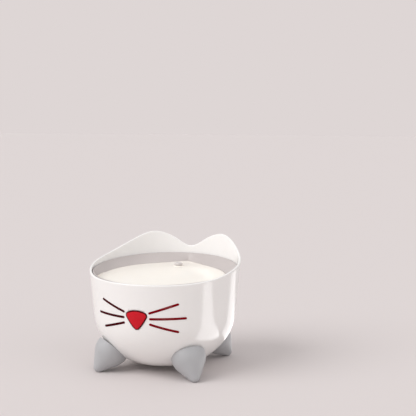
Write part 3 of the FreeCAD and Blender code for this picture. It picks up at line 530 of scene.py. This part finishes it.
@dataclass
class Face:
    """Nose window and six whiskers that follow the front wall."""

    bowl: Bowl
    nose_top: float = 93.4
    nose_shoulder: float = 88.4
    nose_tip: float = 66.6
    nose_half: float = 15.6
    nose_bulge: float = 1.6
    nose_corner: float = 4.2
    nose_proud: float = 0.9
    fit: float = 0.15
    rim_width: float = 1.3
    rim_search: float = 8.0
    outline_points: int = 96
    whisker_width: float = 3.0
    whisker_proud: float = 0.5
    whisker_ends: tuple[tuple[Point, Point], ...] = (
        ((17.6, 90.6), (51.0, 102.0)),
        ((18.2, 83.1), (58.6, 83.7)),
        ((18.0, 76.0), (49.8, 66.3)),
    )

    def discs(self) -> list[tuple[float, float, float]]:
        """Centre and radius of the three round bars whose common part is the nose."""
        left = (-self.nose_half, self.nose_shoulder)
        right = (self.nose_half, self.nose_shoulder)
        tip = (0.0, self.nose_tip)
        crown = self.nose_top - self.nose_shoulder
        sides = [(left, right, crown), (right, tip, self.nose_bulge), (tip, left, self.nose_bulge)]
        found = []
        for a, b, bulge in sides:
            run = Vector((b[0] - a[0], b[1] - a[1]))
            out = Vector((-run.y, run.x)).normalized()
            radius = (run.length_squared / 4 + bulge**2) / (2 * bulge)
            centre = Vector(((a[0] + b[0]) / 2, (a[1] + b[1]) / 2)) - out * (radius - bulge)
            found.append((centre.x, centre.y, radius))
        return found

    def outline(self, grow: float, count: int) -> list[Point]:
        """Rounded triangle: points at even turns whose distance to all three bars, less a corner radius, agrees.

        Args:
            grow: Offset outwards.
            count: Number of points.

        Returns:
            Width and height of each point.
        """
        discs = self.discs()
        middle = (0.0, self.nose_shoulder - 5)

        def outside(x: float, z: float) -> float:
            """Signed distance to the rounded outline."""
            gaps = [math.hypot(x - cx, z - cz) - radius + self.nose_corner for cx, cz, radius in discs]
            over = [max(g, 0.0) for g in gaps]
            far = max(gaps) if max(gaps) <= 0 else math.hypot(*sorted(over)[-2:])
            return far - self.nose_corner - grow

        points = []
        for i in range(count):
            turn = math.tau * i / count
            low, high = 0.0, 60.0
            for _ in range(40):
                reach = (low + high) / 2
                if outside(middle[0] + reach * math.cos(turn), middle[1] + reach * math.sin(turn)) > 0:
                    high = reach
                else:
                    low = reach
            points.append((middle[0] + low * math.cos(turn), middle[1] + low * math.sin(turn)))
        return points

    def raised(
        self, outline: list[Point], spine: Callable[[Point], Point], profile: list[Point]
    ) -> bmesh.types.BMesh:
        """Build a patch that stands on the wall.

        Args:
            outline: Closed outline in width and height.
            spine: Point that each outline point moves towards.
            profile: Share of the way to the spine and inset of each ring, from the root to the top.

        Returns:
            The closed mesh in metres.
        """
        bm = bmesh.new()
        rings = []
        for share, inset in profile:
            ring = []
            for x, z in outline:
                cx, cz = spine((x, z))
                ring.append(bm.verts.new(self.bowl.on_wall(x + (cx - x) * share, z + (cz - z) * share, inset)))
            rings.append([bm.edges.new((ring[i - 1], ring[i])) for i in range(len(ring))])
        for lower, upper in zip(rings, rings[1:]):
            bmesh.ops.bridge_loops(bm, edges=lower + upper)
        bmesh.ops.holes_fill(bm, edges=rings[0], sides=0)
        bmesh.ops.holes_fill(bm, edges=rings[-1], sides=0)
        bmesh.ops.remove_doubles(bm, verts=bm.verts, dist=1e-6)
        bmesh.ops.recalc_face_normals(bm, faces=bm.faces)
        return bm

    def opening(self) -> bpy.types.Object:
        """Cutter for the nose's opening in the wall."""
        through = [(0.0, -6.0), (0.0, 9.0)]
        edge = self.outline(self.fit, self.outline_points)
        bm = self.raised(edge, lambda p: (0.0, self.nose_shoulder - 5), through)
        return finished(bm, "nose_cutter", SHELL_ABS)

    def build(self) -> None:
        """Make the nose and the whiskers."""
        centre = (0.0, self.nose_shoulder - 6)
        wall, proud = self.bowl.wall, -self.nose_proud
        edge = self.rim_width / 17
        profile = [
            (0.0, wall + 0.9),
            (0.0, proud + 0.45),
            (0.012, proud + 0.12),
            (0.04, proud),
            (edge, proud),
            (edge + 0.01, proud + 0.1),
            (edge + 0.05, proud + 0.02),
            (0.25, proud - 0.35),
            (0.5, proud - 0.65),
            (0.75, proud - 0.8),
            (0.93, proud - 0.85),
        ]
        border = self.outline(0, self.outline_points)
        bm = self.raised(border, lambda p: centre, profile)
        nose = finished(bm, "nose_lens", LENS_ACRYLIC)
        nose.data.materials.append(LENS_EDGE_SHADE.material())
        # Faces along the lens's border, away from its middle, take the painted recess shade.
        for polygon in nose.data.polygons:
            x, z = polygon.center.x / MM, polygon.center.z / MM
            reach = math.hypot(x - centre[0], z - centre[1])
            rim = min(math.hypot(px - x, pz - z) for px, pz in border)
            polygon.material_index = 1 if reach > self.rim_search and rim < self.rim_width else 0
        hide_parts("nose_window")
        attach(nose, "bowl")
        for sign, side in ((1, "right"), (-1, "left")):
            self.whisker_set(sign, side)

    def whisker_set(self, sign: int, side: str) -> None:
        """Make the three strips on one side.

        Args:
            sign: 1 for +X and -1 for -X.
            side: The side's name.
        """
        whole = bmesh.new()
        half = self.whisker_width / 2
        for (x0, z0), (x1, z1) in self.whisker_ends:
            start, end = Vector((x0 * sign, z0)), Vector((x1 * sign, z1))
            run = (end - start).normalized()
            across = Vector((-run.y, run.x))
            outline = []
            for middle, first in ((end, -90), (start, 90)):
                for i in range(13):
                    turn = math.radians(first + 180 * i / 12)
                    p = middle + (run * math.cos(turn) + across * math.sin(turn)) * half
                    outline.append((p.x, p.y))
                other = start if middle is end else end
                side_step = across * half * (1 if middle is end else -1)
                for i in range(1, 12):
                    p = middle.lerp(other, i / 12) + side_step
                    outline.append((p.x, p.y))

            def spine(p: Point, start: Vector = start, end: Vector = end) -> Point:
                """Nearest point of the strip's middle line."""
                length = (end - start).length
                along = max(0.0, min(length, (Vector(p) - start).dot((end - start) / length)))
                near = start + (end - start) * along / length
                return (near.x, near.y)

            top = -self.whisker_proud
            profile = [(0.0, 0.3), (0.0, top * 0.5), (0.12, top * 0.85), (0.35, top), (0.9, top)]
            strip = self.raised(outline, spine, profile)
            part = bpy.data.meshes.new("strip")
            strip.to_mesh(part)
            strip.free()
            whole.from_mesh(part)
            bpy.data.meshes.remove(part)
        # The left strips take the shaded copy of the same maroon, painted shade.
        strips = finished(whole, "whisker_strips_" + side, WHISKER_ABS if sign > 0 else SHADED_WHISKER_ABS)
        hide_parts("whiskers_" + side)
        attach(strips, "bowl")


# Feet


@dataclass
class Feet:
    """Four leaning feet, each a full round shoulder that tapers to a small round tip."""

    bowl: Bowl
    circle: float = 95.0
    lean: float = 41.0
    flare: float = 33.5
    tip: float = 7.0
    shoulder: float = 26.0
    cone: float = 14.7
    pad_depth: float = 0.6
    reach: float = 32.0
    sink: float = 0.4

    def outline(self) -> list[Point]:
        """Tip, cone and shoulder in the foot's own frame."""
        flare = math.radians(self.flare)
        end_r = (self.cone + self.tip / math.sin(flare)) * math.tan(flare)
        centre = (end_r - self.shoulder * math.cos(flare), self.cone + self.shoulder * math.sin(flare))
        last = math.degrees(math.asin(min(1.0, (self.reach - centre[1]) / self.shoulder)))
        points = arc((0.0, 0.0), self.tip, -90, -self.flare, 14)
        points += divided(points[-1], (end_r, self.cone), 6)[1:]
        points += arc(centre, self.shoulder, -self.flare, last, 24)
        return points + divided(points[-1], (0.0, points[-1][1]), 5)[1:] + [(0.0, points[-1][1])]

    def build(self) -> None:
        """Make each foot where its CAD piece is."""
        for name, angle in (("front_left", 225), ("front_right", 315), ("rear_right", 45), ("rear_left", 135)):
            bm = spun(self.outline(), 72)
            lean = Matrix.Rotation(math.radians(-self.lean), 4, "Y")
            place = Matrix.Translation(Vector((self.circle, 0, self.tip - self.pad_depth)) * MM)
            turn = Matrix.Rotation(math.radians(angle), 4, "Z")
            bmesh.ops.transform(bm, matrix=turn @ place @ lean, verts=bm.verts)
            for vert in bm.verts:
                self.seat(vert)
            foot = finished(bm, "paw_" + name, FOOT_RUBBER, 60)
            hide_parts("foot_" + name)
            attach(foot, "bowl")

    def seat(self, vert: bmesh.types.BMVert) -> None:
        """Keep a point on or above the floor and out of the bowl.

        Args:
            vert: The point that may be moved.
        """
        vert.co.z = max(vert.co.z, 0.0)
        r = math.hypot(vert.co.x, vert.co.y) / MM
        away = Vector((r - self.bowl.corner_r, vert.co.z / MM - self.bowl.corner_z))
        least = self.bowl.corner - self.sink
        if away.length < least and away.y < 0:
            away = away.normalized() * least
            ratio = (self.bowl.corner_r + away.x) / r
            vert.co.x *= ratio
            vert.co.y *= ratio
            vert.co.z = (self.bowl.corner_z + away.y) * MM


# Dish


@dataclass
class Dish:
    """Crowned drinking dish, sloping collar and nozzle. Dish and collar tilt alike, low at the front."""

    bowl: Bowl
    tilt: float = 3.8
    offset: float = 13.0
    radius: float = 87.0
    limit: float = 92.5
    point: float = 103.0
    edge: float = 122.7
    rise: float = 2.4
    floor: float = 2.2
    skirt_drop: float = 1.0
    seam: float = 0.3
    fit: float = 0.5
    flange_low: float = 115.2
    flange_high: float = 117.5
    collar_fit: float = 0.8
    land: float = 1.5
    collar_middle: float = 132.3
    drain_outer: float = 87.0
    drain_length: float = 8.0
    drain_width: float = 6.0
    drain_step: float = 10.0
    drain_count: int = 5
    nozzle_y: float = 50.0
    nozzle_radius: float = 5.7
    nozzle_height: float = 3.9
    nozzle_bore: float = 2.2
    nozzle_stem: float = 4.0
    stem_length: float = 6.0
    pad_radius: float = 6.9
    pad_height: float = 127.9
    socket_radius: float = 7.55
    socket_wall: float = 2.0
    socket_bottom: float = 100.0
    socket_ceiling: float = 121.4
    seat_shoulder: float = 125.1
    cut_low: float = 105.0
    cut_height: float = 25.0
    stem_cut: Point = (90.0, 140.0)
    steps: int = 240

    def basin(self, angle: float, inset: float = 0.0) -> float:
        """Radius of the dish's outline about the bowl's axis.

        Args:
            angle: Turn from the front in radians.
            inset: Offset inwards.

        Returns:
            The outline's radius.
        """
        squash = math.cos(math.radians(self.tilt))
        across, ahead = abs(math.sin(angle)), -math.cos(angle) / squash
        length = math.hypot(across, ahead)
        across, ahead = across / length, ahead / length
        radius, limit = self.radius - inset, self.limit - inset
        touch = math.pi / 2 - math.acos(self.radius / self.point)
        drop = self.offset * ahead
        reach = -drop + math.sqrt(drop**2 - self.offset**2 + radius**2)
        if math.atan2(reach * ahead + self.offset, reach * across) > touch:
            lean = math.cos(touch) * across + math.sin(touch) * ahead
            reach = (radius - math.sin(touch) * self.offset) / lean
        reach = min(reach, limit)
        return math.hypot(reach * across, reach * ahead * squash)

    def plane(self, r: float, angle: float, height: float) -> float:
        """Height of the plane that drops towards the front and passes a height over the bowl's axis."""
        return height - r * math.cos(angle) * math.tan(math.radians(self.tilt))

    def surface(self, r: float, angle: float) -> float:
        """Height of the drinking surface."""
        ball = (self.radius**2 + self.rise**2) / (2 * self.rise)
        away = min(self.radius, math.hypot(r * math.sin(angle), self.offset - r * math.cos(angle)))
        return self.plane(r, angle, self.edge) + self.rise - ball + math.sqrt(ball**2 - away**2)

    def dish_shape(self, r: float, z: float, angle: float) -> Point:
        """Give the round blank the dish's outline, tilt and crown."""
        rim = self.basin(angle, self.seam)
        out = self.bowl.wall_radius(self.flange_low, self.bowl.wall + self.fit)
        if r > self.radius:
            return rim + (r - self.radius) / (out - self.radius) * (out - rim), z
        r = r * rim / self.radius
        return r, (z if z <= self.flange_high + 0.01 else z - self.edge + self.surface(r, angle))

    def dish(self) -> bpy.types.Object:
        """Make the crowned dish with its skirt and flange.

        Returns:
            The dish.
        """
        rim, inner, edge = self.radius, self.radius - self.floor, self.edge
        top = [(rim * i / 30, edge) for i in range(30)]
        top += [(rim - 0.5, edge), (rim - 0.15, edge - 0.12), (rim, edge - 0.5), (rim, self.flange_high)]
        out = self.bowl.wall_radius(self.flange_low, self.bowl.wall + self.fit)
        top += divided((rim + 0.5, self.flange_high), (out - 0.2, self.flange_high), 4)
        top += [(out - 0.2, self.flange_high), (out + 0.1, self.flange_high - 0.3), (out, self.flange_low)]
        skirt = self.flange_low - self.skirt_drop
        top += [(rim, self.flange_low), (rim, skirt), (inner, skirt), (inner, edge - self.floor)]
        top += [(inner * (24 - i) / 24, edge - self.floor) for i in range(1, 25)]
        dish = finished(spun(top, self.steps, self.dish_shape), "dish_crown", DISH_ABS)
        carved(dish, self.drains() + [self.bar(self.nozzle_stem, *self.stem_cut, "stem_cutter")])
        return dish

    def bar(self, radius: float, low: float, high: float, name: str) -> bpy.types.Object:
        """Round bar at the nozzle's place, from one height to another."""
        bm = spun([(0.0, low), (radius, low), (radius, high), (0.0, high)], 48)
        bmesh.ops.translate(bm, vec=(0, self.nozzle_y * MM, 0), verts=bm.verts)
        return finished(bm, name, DISH_ABS)

    def drains(self) -> list[bpy.types.Object]:
        """Cutters for the round-ended drain slots at the front."""
        half = self.drain_width / 2
        near, far = self.drain_outer - self.drain_length + half, self.drain_outer - half
        cutters = []
        for i in range(self.drain_count):
            bm = bmesh.new()
            bmesh.ops.create_circle(bm, segments=32, radius=half * MM, cap_ends=True)
            for vert in bm.verts:
                vert.co.y -= (near if vert.co.y > ON_AXIS else far) * MM
                vert.co.z = self.cut_low * MM
            grown = bmesh.ops.extrude_face_region(bm, geom=list(bm.faces))
            risen = [e for e in grown["geom"] if isinstance(e, bmesh.types.BMVert)]
            bmesh.ops.translate(bm, vec=(0, 0, self.cut_height * MM), verts=risen)
            bmesh.ops.recalc_face_normals(bm, faces=bm.faces)
            turn = Matrix.Rotation(math.radians((i - (self.drain_count - 1) / 2) * self.drain_step), 4, "Z")
            bmesh.ops.transform(bm, matrix=turn, verts=bm.verts)
            cutters.append(finished(bm, f"drain_cutter_{i}", COLLAR_ABS))
        return cutters

    def nozzle_seat(self) -> bpy.types.Object:
        """Round pad and socket that carry the nozzle and slip over the riser."""
        outer = self.socket_radius + self.socket_wall
        floor = self.socket_ceiling
        outline = [
            (self.nozzle_stem, floor), (self.socket_radius, floor), (self.socket_radius, self.socket_bottom + 0.4),
            (self.socket_radius + 0.4, self.socket_bottom), (outer - 0.4, self.socket_bottom),
            (outer, self.socket_bottom + 0.4), (outer, self.seat_shoulder),
            (self.pad_radius + 0.2, self.seat_shoulder + 0.2),
            (self.pad_radius, self.pad_height - 0.35), (self.pad_radius - 0.35, self.pad_height),
            (self.nozzle_stem, self.pad_height),
        ]
        bm = spun(outline, 64, closed=True)
        bmesh.ops.translate(bm, vec=(0, self.nozzle_y * MM, 0), verts=bm.verts)
        return finished(bm, "nozzle_seat", DISH_ABS)

    def collar_shape(self, r: float, z: float, angle: float) -> Point:
        """Slope the collar from its tilted edge down to the dish's outline."""
        upper = self.bowl.wall_radius(self.collar_middle, self.bowl.wall + self.collar_fit)
        inner, foot = upper - self.land, self.basin(angle)
        shift = self.plane(upper, angle, 0.0)
        if r >= inner - 0.01:
            share = max(0.0, (z - self.flange_high) / (self.collar_middle - self.flange_high))
            return r + shift * share * self.bowl.slope, z + shift * share
        if z <= self.flange_high + 0.01:
            return foot + 0.35, z
        low, high = self.plane(foot, angle, self.edge), self.plane(inner, angle, self.collar_middle)
        least = max(0.0, (self.flange_high + 0.05 - low) / (high - low))
        share = least + (1 - least) * (z - self.edge) / (self.collar_middle - self.edge)
        return foot + (inner - foot) * share, low + (high - low) * share

    def collar(self) -> bpy.types.Object:
        """Make the grey ring.

        Returns:
            The collar.
        """
        top, low, foot = self.collar_middle, self.flange_high, self.radius
        upper = self.bowl.wall_radius(top, self.bowl.wall + self.collar_fit)
        outer_low = self.bowl.wall_radius(low, self.bowl.wall + self.collar_fit)
        inner = upper - self.land
        outline = divided((foot, self.edge), (inner - 0.1, top), 14) + [(inner, top), (inner + 0.25, top + 0.12)]
        outline += [(upper - 0.3, top + 0.12), (upper - 0.05, top - 0.15)]
        outline += divided((upper - 0.05, top - 0.4), (outer_low, low), 6)[1:] + [(outer_low, low), (foot, low)]
        return finished(spun(outline, self.steps, self.collar_shape, closed=True), "collar_ring", COLLAR_ABS, 30)

    def nozzle(self) -> bpy.types.Object:
        """Make the button with its outlet.

        Returns:
            The nozzle.
        """
        low, high = self.pad_height, self.pad_height + self.nozzle_height
        r, bore = self.nozzle_radius, self.nozzle_bore
        outline = [(bore, low - self.stem_length), (self.nozzle_stem - 0.05, low - self.stem_length)]
        outline += [(self.nozzle_stem - 0.05, low), (r - 1.0, low), (r - 1.0, low + 0.5), (r, low + 0.8)]
        outline += arc((r - 1.3, high - 1.3), 1.3, 0, 90, 8)
        outline += [(bore + 0.9, high)] + arc((bore + 0.5, high - 0.5), 0.5, 90, 180, 5)
        bm = spun(outline, 64, closed=True)
        bmesh.ops.translate(bm, vec=(0, self.nozzle_y * MM, 0), verts=bm.verts)
        return finished(bm, "outlet_button", BUTTON_ABS)

    def build(self) -> None:
        """Make the pieces and set them on their bodies."""
        dish, seat, ring, button = self.dish(), self.nozzle_seat(), self.collar(), self.nozzle()
        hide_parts("drinking_dish")
        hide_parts("splash_collar")
        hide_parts("nozzle")
        for piece, slot in ((dish, "dish_white"), (seat, "dish_white"), (ring, "collar_grey")):
            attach(piece, "dish")
        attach(button, "nozzle")


# Pieces that keep their CAD shape


@dataclass
class InnerWorks:
    """Finishes for the pump, filter and seals, whose shapes come with the frame."""

    finishes: dict[str, Finish] = field(
        default_factory=lambda: {
            "nose_gasket": SEAL_RUBBER,
            "cord_grommet": GROMMET_RUBBER,
            "filter_holder": FILTER_PLASTIC,
            "riser_seal": SEAL_RUBBER,
            "filter_frame": FILTER_PLASTIC,
            "filter_lid": FILTER_PLASTIC,
            "pump_housing": PUMP_PLASTIC,
            "suction_cups": SEAL_RUBBER,
            "motor_core": CORE_STEEL,
            "motor_coil": COIL_COPPER,
            "motor_potting": POTTING,
            "light_window": WINDOW_CLEAR,
            "light_board": BOARD_MASK,
            "light_emitter": EMITTER_EPOXY,
            "level_pins": PIN_STEEL,
            "cord_gland": SEAL_RUBBER,
            "riser_tube": PUMP_PLASTIC,
            "impeller_shaft": SHAFT_CERAMIC,
            "front_bush": SEAL_RUBBER,
            "rear_bush": SEAL_RUBBER,
            "pump_cover": PUMP_PLASTIC,
            "rotor_magnet": FERRITE,
            "impeller": FILTER_PLASTIC,
        }
    )

    def build(self) -> None:
        """Dress each carried-over piece."""
        for name, finish in self.finishes.items():
            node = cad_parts[name]
            node.data.materials.clear()
            node.data.materials.append(finish.material())


# Soft pieces


@dataclass
class Media:
    """Filter pads and sponge, grown from the space that their CAD blanks hold."""

    pad_voxel: float = 1.1
    sponge_voxel: float = 0.45
    loft: float = 0.35
    tuft_pitch: float = 11.0
    tuft_radius: float = 1.9
    tuft_depth: float = 1.5
    row_crowding: float = 1.15
    fibre_clump: float = 3.2
    felt_wave: float = 5.5
    felt_grain: float = 1.4
    cell: float = 1.7
    cell_depth: float = 0.55
    smoothings: int = 4

    def grown(
        self, node: str, name: str, finish: Finish, voxel: float, sink: Callable[[Vector, Vector], float]
    ) -> None:
        """Remesh a CAD blank finely, round its edges and let its skin sink by a rule.

        Args:
            node: The blank's name.
            name: The new piece's name.
            finish: Its material.
            voxel: Mesh size in millimetres.
            sink: Gives the depth in millimetres from a point in millimetres and its normal.
        """
        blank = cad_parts[node]
        bm = bmesh.new()
        bm.from_mesh(blank.data)
        bmesh.ops.remove_doubles(bm, verts=bm.verts, dist=1e-6)
        piece = finished(bm, name, finish, 180)
        remesh = piece.modifiers.new("remesh", "REMESH")
        remesh.mode = "VOXEL"
        remesh.voxel_size = voxel * MM
        graph = bpy.context.evaluated_depsgraph_get()
        mesh = bpy.data.meshes.new_from_object(piece.evaluated_get(graph))
        piece.modifiers.clear()
        bm = bmesh.new()
        bm.from_mesh(mesh)
        bpy.data.meshes.remove(mesh)
        for _ in range(self.smoothings):
            bmesh.ops.smooth_vert(bm, verts=bm.verts, factor=0.5, use_axis_x=True, use_axis_y=True, use_axis_z=True)
        bm.normal_update()
        for vert in bm.verts:
            vert.co -= vert.normal * sink(vert.co / MM, vert.normal) * MM
        bm.to_mesh(piece.data)
        bm.free()
        for polygon in piece.data.polygons:
            polygon.use_smooth = True
        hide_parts(node)

    def tufted(self, place: Vector, normal: Vector) -> float:
        """Lofty fibre skin with a staggered grid of heat-pressed dimples."""
        row = round(place.y / self.tuft_pitch * self.row_crowding)
        shift = 0.5 * self.tuft_pitch * (row % 2)
        column = round((place.x - shift) / self.tuft_pitch)
        across = place.x - shift - column * self.tuft_pitch
        away = math.hypot(across, place.y - row * self.tuft_pitch / self.row_crowding)
        dimple = self.tuft_depth * math.exp(-((away / self.tuft_radius) ** 2)) * abs(normal.z)
        return dimple + self.loft * (0.5 + 0.5 * noise.noise(place / self.fibre_clump))

    def felted(self, place: Vector, normal: Vector) -> float:
        """Pressed felt: a flat skin with low, broad unevenness."""
        wave = 0.6 * self.loft * (0.5 + 0.5 * noise.noise(place / self.felt_wave))
        return wave + 0.12 * (1 + noise.noise(place / self.felt_grain))

    def cellular(self, place: Vector, normal: Vector) -> float:
        """Open cells of a coarse sponge."""
        near = noise.voronoi(place / self.cell)[0][0]
        return self.cell_depth * max(0.0, 1 - near * 1.3)

    def build(self) -> None:
        """Make the two pads and the sponge on their bodies."""
        self.grown("filter_fleece", "fleece_pad", FLEECE, self.pad_voxel, self.tufted)
        self.grown("filter_carbon", "carbon_pad", CARBON_FELT, self.pad_voxel, self.felted)
        self.grown("pump_foam", "inlet_sponge", SPONGE, self.sponge_voxel, self.cellular)
        for name, body, slot in (
            ("fleece_pad", "filter", "fleece_pad"),
            ("carbon_pad", "filter", "carbon_pad"),
            ("inlet_sponge", "pump_cover", "pump_sponge"),
        ):
            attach(bpy.data.objects[name], body)


# Studio


@dataclass
class Studio:
    """Pale floor and wall, soft lamps and the camera."""

    camera_place: tuple[float, float, float] = (424.7, -1057.5, 323.4)
    look: tuple[float, float, float] = (-0.3237, 0.9413, -0.0960)
    level: tuple[float, float, float] = (0.9455, 0.3256, 0.0045)
    focal_px: float = 850.0
    frame_px: float = 416.0
    sensor: float = 36.0
    backdrop: str = "DED6D5"
    paper: str = "D5CECD"
    surround: str = "F6F4F4"
    glow: float = 0.78

    def camera(self) -> None:
        """Set the camera at the photographed view."""
        data = bpy.data.cameras.new("view")
        data.sensor_width = self.sensor
        data.lens = self.focal_px / self.frame_px * self.sensor
        data.clip_end = 50
        camera = linked("view", data)
        ahead = Vector(self.look).normalized()
        right = Vector(self.level)
        right = (right - ahead * right.dot(ahead)).normalized()
        up = right.cross(ahead)
        turn = Matrix((right, up, -ahead)).transposed().to_4x4()
        camera.matrix_world = Matrix.Translation(Vector(self.camera_place) * MM) @ turn
        bpy.context.scene.camera = camera

    def floor(self) -> None:
        """Pale paper sweep under the object."""
        bm = bmesh.new()
        bmesh.ops.create_grid(bm, x_segments=2, y_segments=2, size=30.0)
        mesh = bpy.data.meshes.new("floor")
        bm.to_mesh(mesh)
        bm.free()
        floor = linked("floor", mesh)
        paint = bpy.data.materials.new("pale_paper")
        paint.use_nodes = True
        shader = paint.node_tree.nodes["Principled BSDF"]
        shader.inputs["Base Color"].default_value = linear(self.paper)
        shader.inputs["Roughness"].default_value = 0.9
        shader.inputs["Specular IOR Level"].default_value = 0.05
        mesh.materials.append(paint)

    def world(self) -> None:
        """Even surround: the camera sees the backdrop's colour, and everything else a neutral glow."""
        world = bpy.data.worlds.new("surround")
        world.use_nodes = True
        bpy.context.scene.world = world
        tree = world.node_tree
        glow = tree.nodes["Background"]
        glow.inputs["Color"].default_value = linear(self.surround)
        glow.inputs["Strength"].default_value = self.glow
        seen = add_node(tree, "ShaderNodeBackground", {"Color": linear(self.backdrop), "Strength": 1.0})
        path = add_node(tree, "ShaderNodeLightPath")
        mix = add_node(tree, "ShaderNodeMixShader")
        tree.links.new(path.outputs["Is Camera Ray"], mix.inputs[0])
        tree.links.new(glow.outputs[0], mix.inputs[1])
        tree.links.new(seen.outputs[0], mix.inputs[2])
        tree.links.new(mix.outputs[0], tree.nodes["World Output"].inputs["Surface"])

    def sun(self, name: str, azimuth: float, height: float, strength: float, softness: float) -> None:
        """Add a far soft lamp.

        Args:
            name: The lamp's name.
            azimuth: Degrees from the front towards the right.
            height: Degrees over the floor.
            strength: Its irradiance.
            softness: Its apparent width in degrees.
        """
        data = bpy.data.lights.new(name, "SUN")
        data.energy = strength
        data.angle = math.radians(softness)
        lamp = linked(name, data)
        a, e = math.radians(azimuth), math.radians(height)
        toward = Vector((math.sin(a) * math.cos(e), -math.cos(a) * math.cos(e), math.sin(e)))
        lamp.matrix_world = Matrix.Translation(toward * 3) @ toward.to_track_quat("Z", "Y").to_matrix().to_4x4()

    def card(self, name: str, azimuth: float, near: float, far: float, width: float, power: float) -> None:
        """Add a reflector that lies on the floor beside the bowl and shows only in glossy surfaces.

        Args:
            name: The lamp's name.
            azimuth: Degrees from the front towards the right.
            near: Distance of its inner end from the bowl's axis in metres.
            far: Distance of its outer end.
            width: Its width.
            power: Its power in watts.
        """
        data = bpy.data.lights.new(name, "AREA")
        data.shape = "RECTANGLE"
        data.size, data.size_y = width, far - near
        data.energy = power
        lamp = linked(name, data)
        a = math.radians(azimuth)
        middle = (near + far) / 2
        place = Matrix.Translation((math.sin(a) * middle, -math.cos(a) * middle, 0.001))
        lamp.matrix_world = place @ Matrix.Rotation(a, 4, "Z") @ Matrix.Rotation(math.pi, 4, "X")
        lamp.visible_camera = False
        lamp.visible_diffuse = False

    def build(self) -> None:
        """Set up the whole studio."""
        self.camera()
        self.floor()
        self.world()
        self.sun("key", -45, 40, 1.6, 45)
        self.sun("fill", 80, 35, 0.35, 60)
        self.card("near_strip", 83, 0.12, 0.75, 0.10, 0.55)
        self.card("far_strip", 143, 0.12, 0.75, 0.16, 0.45)
        settings = bpy.context.scene.view_settings
        settings.view_transform = "Standard"


def main() -> None:
    """Build every sub-assembly in order."""
    logging.basicConfig(level=logging.INFO, format="%(message)s")
    bowl = Bowl()
    face = Face(bowl)
    bowl.build([face.opening(), bowl.cord_opening()])
    LOG.info("bowl shell with its openings")
    face.build()
    LOG.info("nose window and whiskers")
    Feet(bowl).build()
    LOG.info("four feet")
    Dish(bowl).build()
    LOG.info("dish, collar and nozzle")
    Media().build()
    LOG.info("filter pads and sponge")
    InnerWorks().build()
    LOG.info("pump, filter and seals dressed")
    Studio().build()


if __name__ == "__main__":
    main()
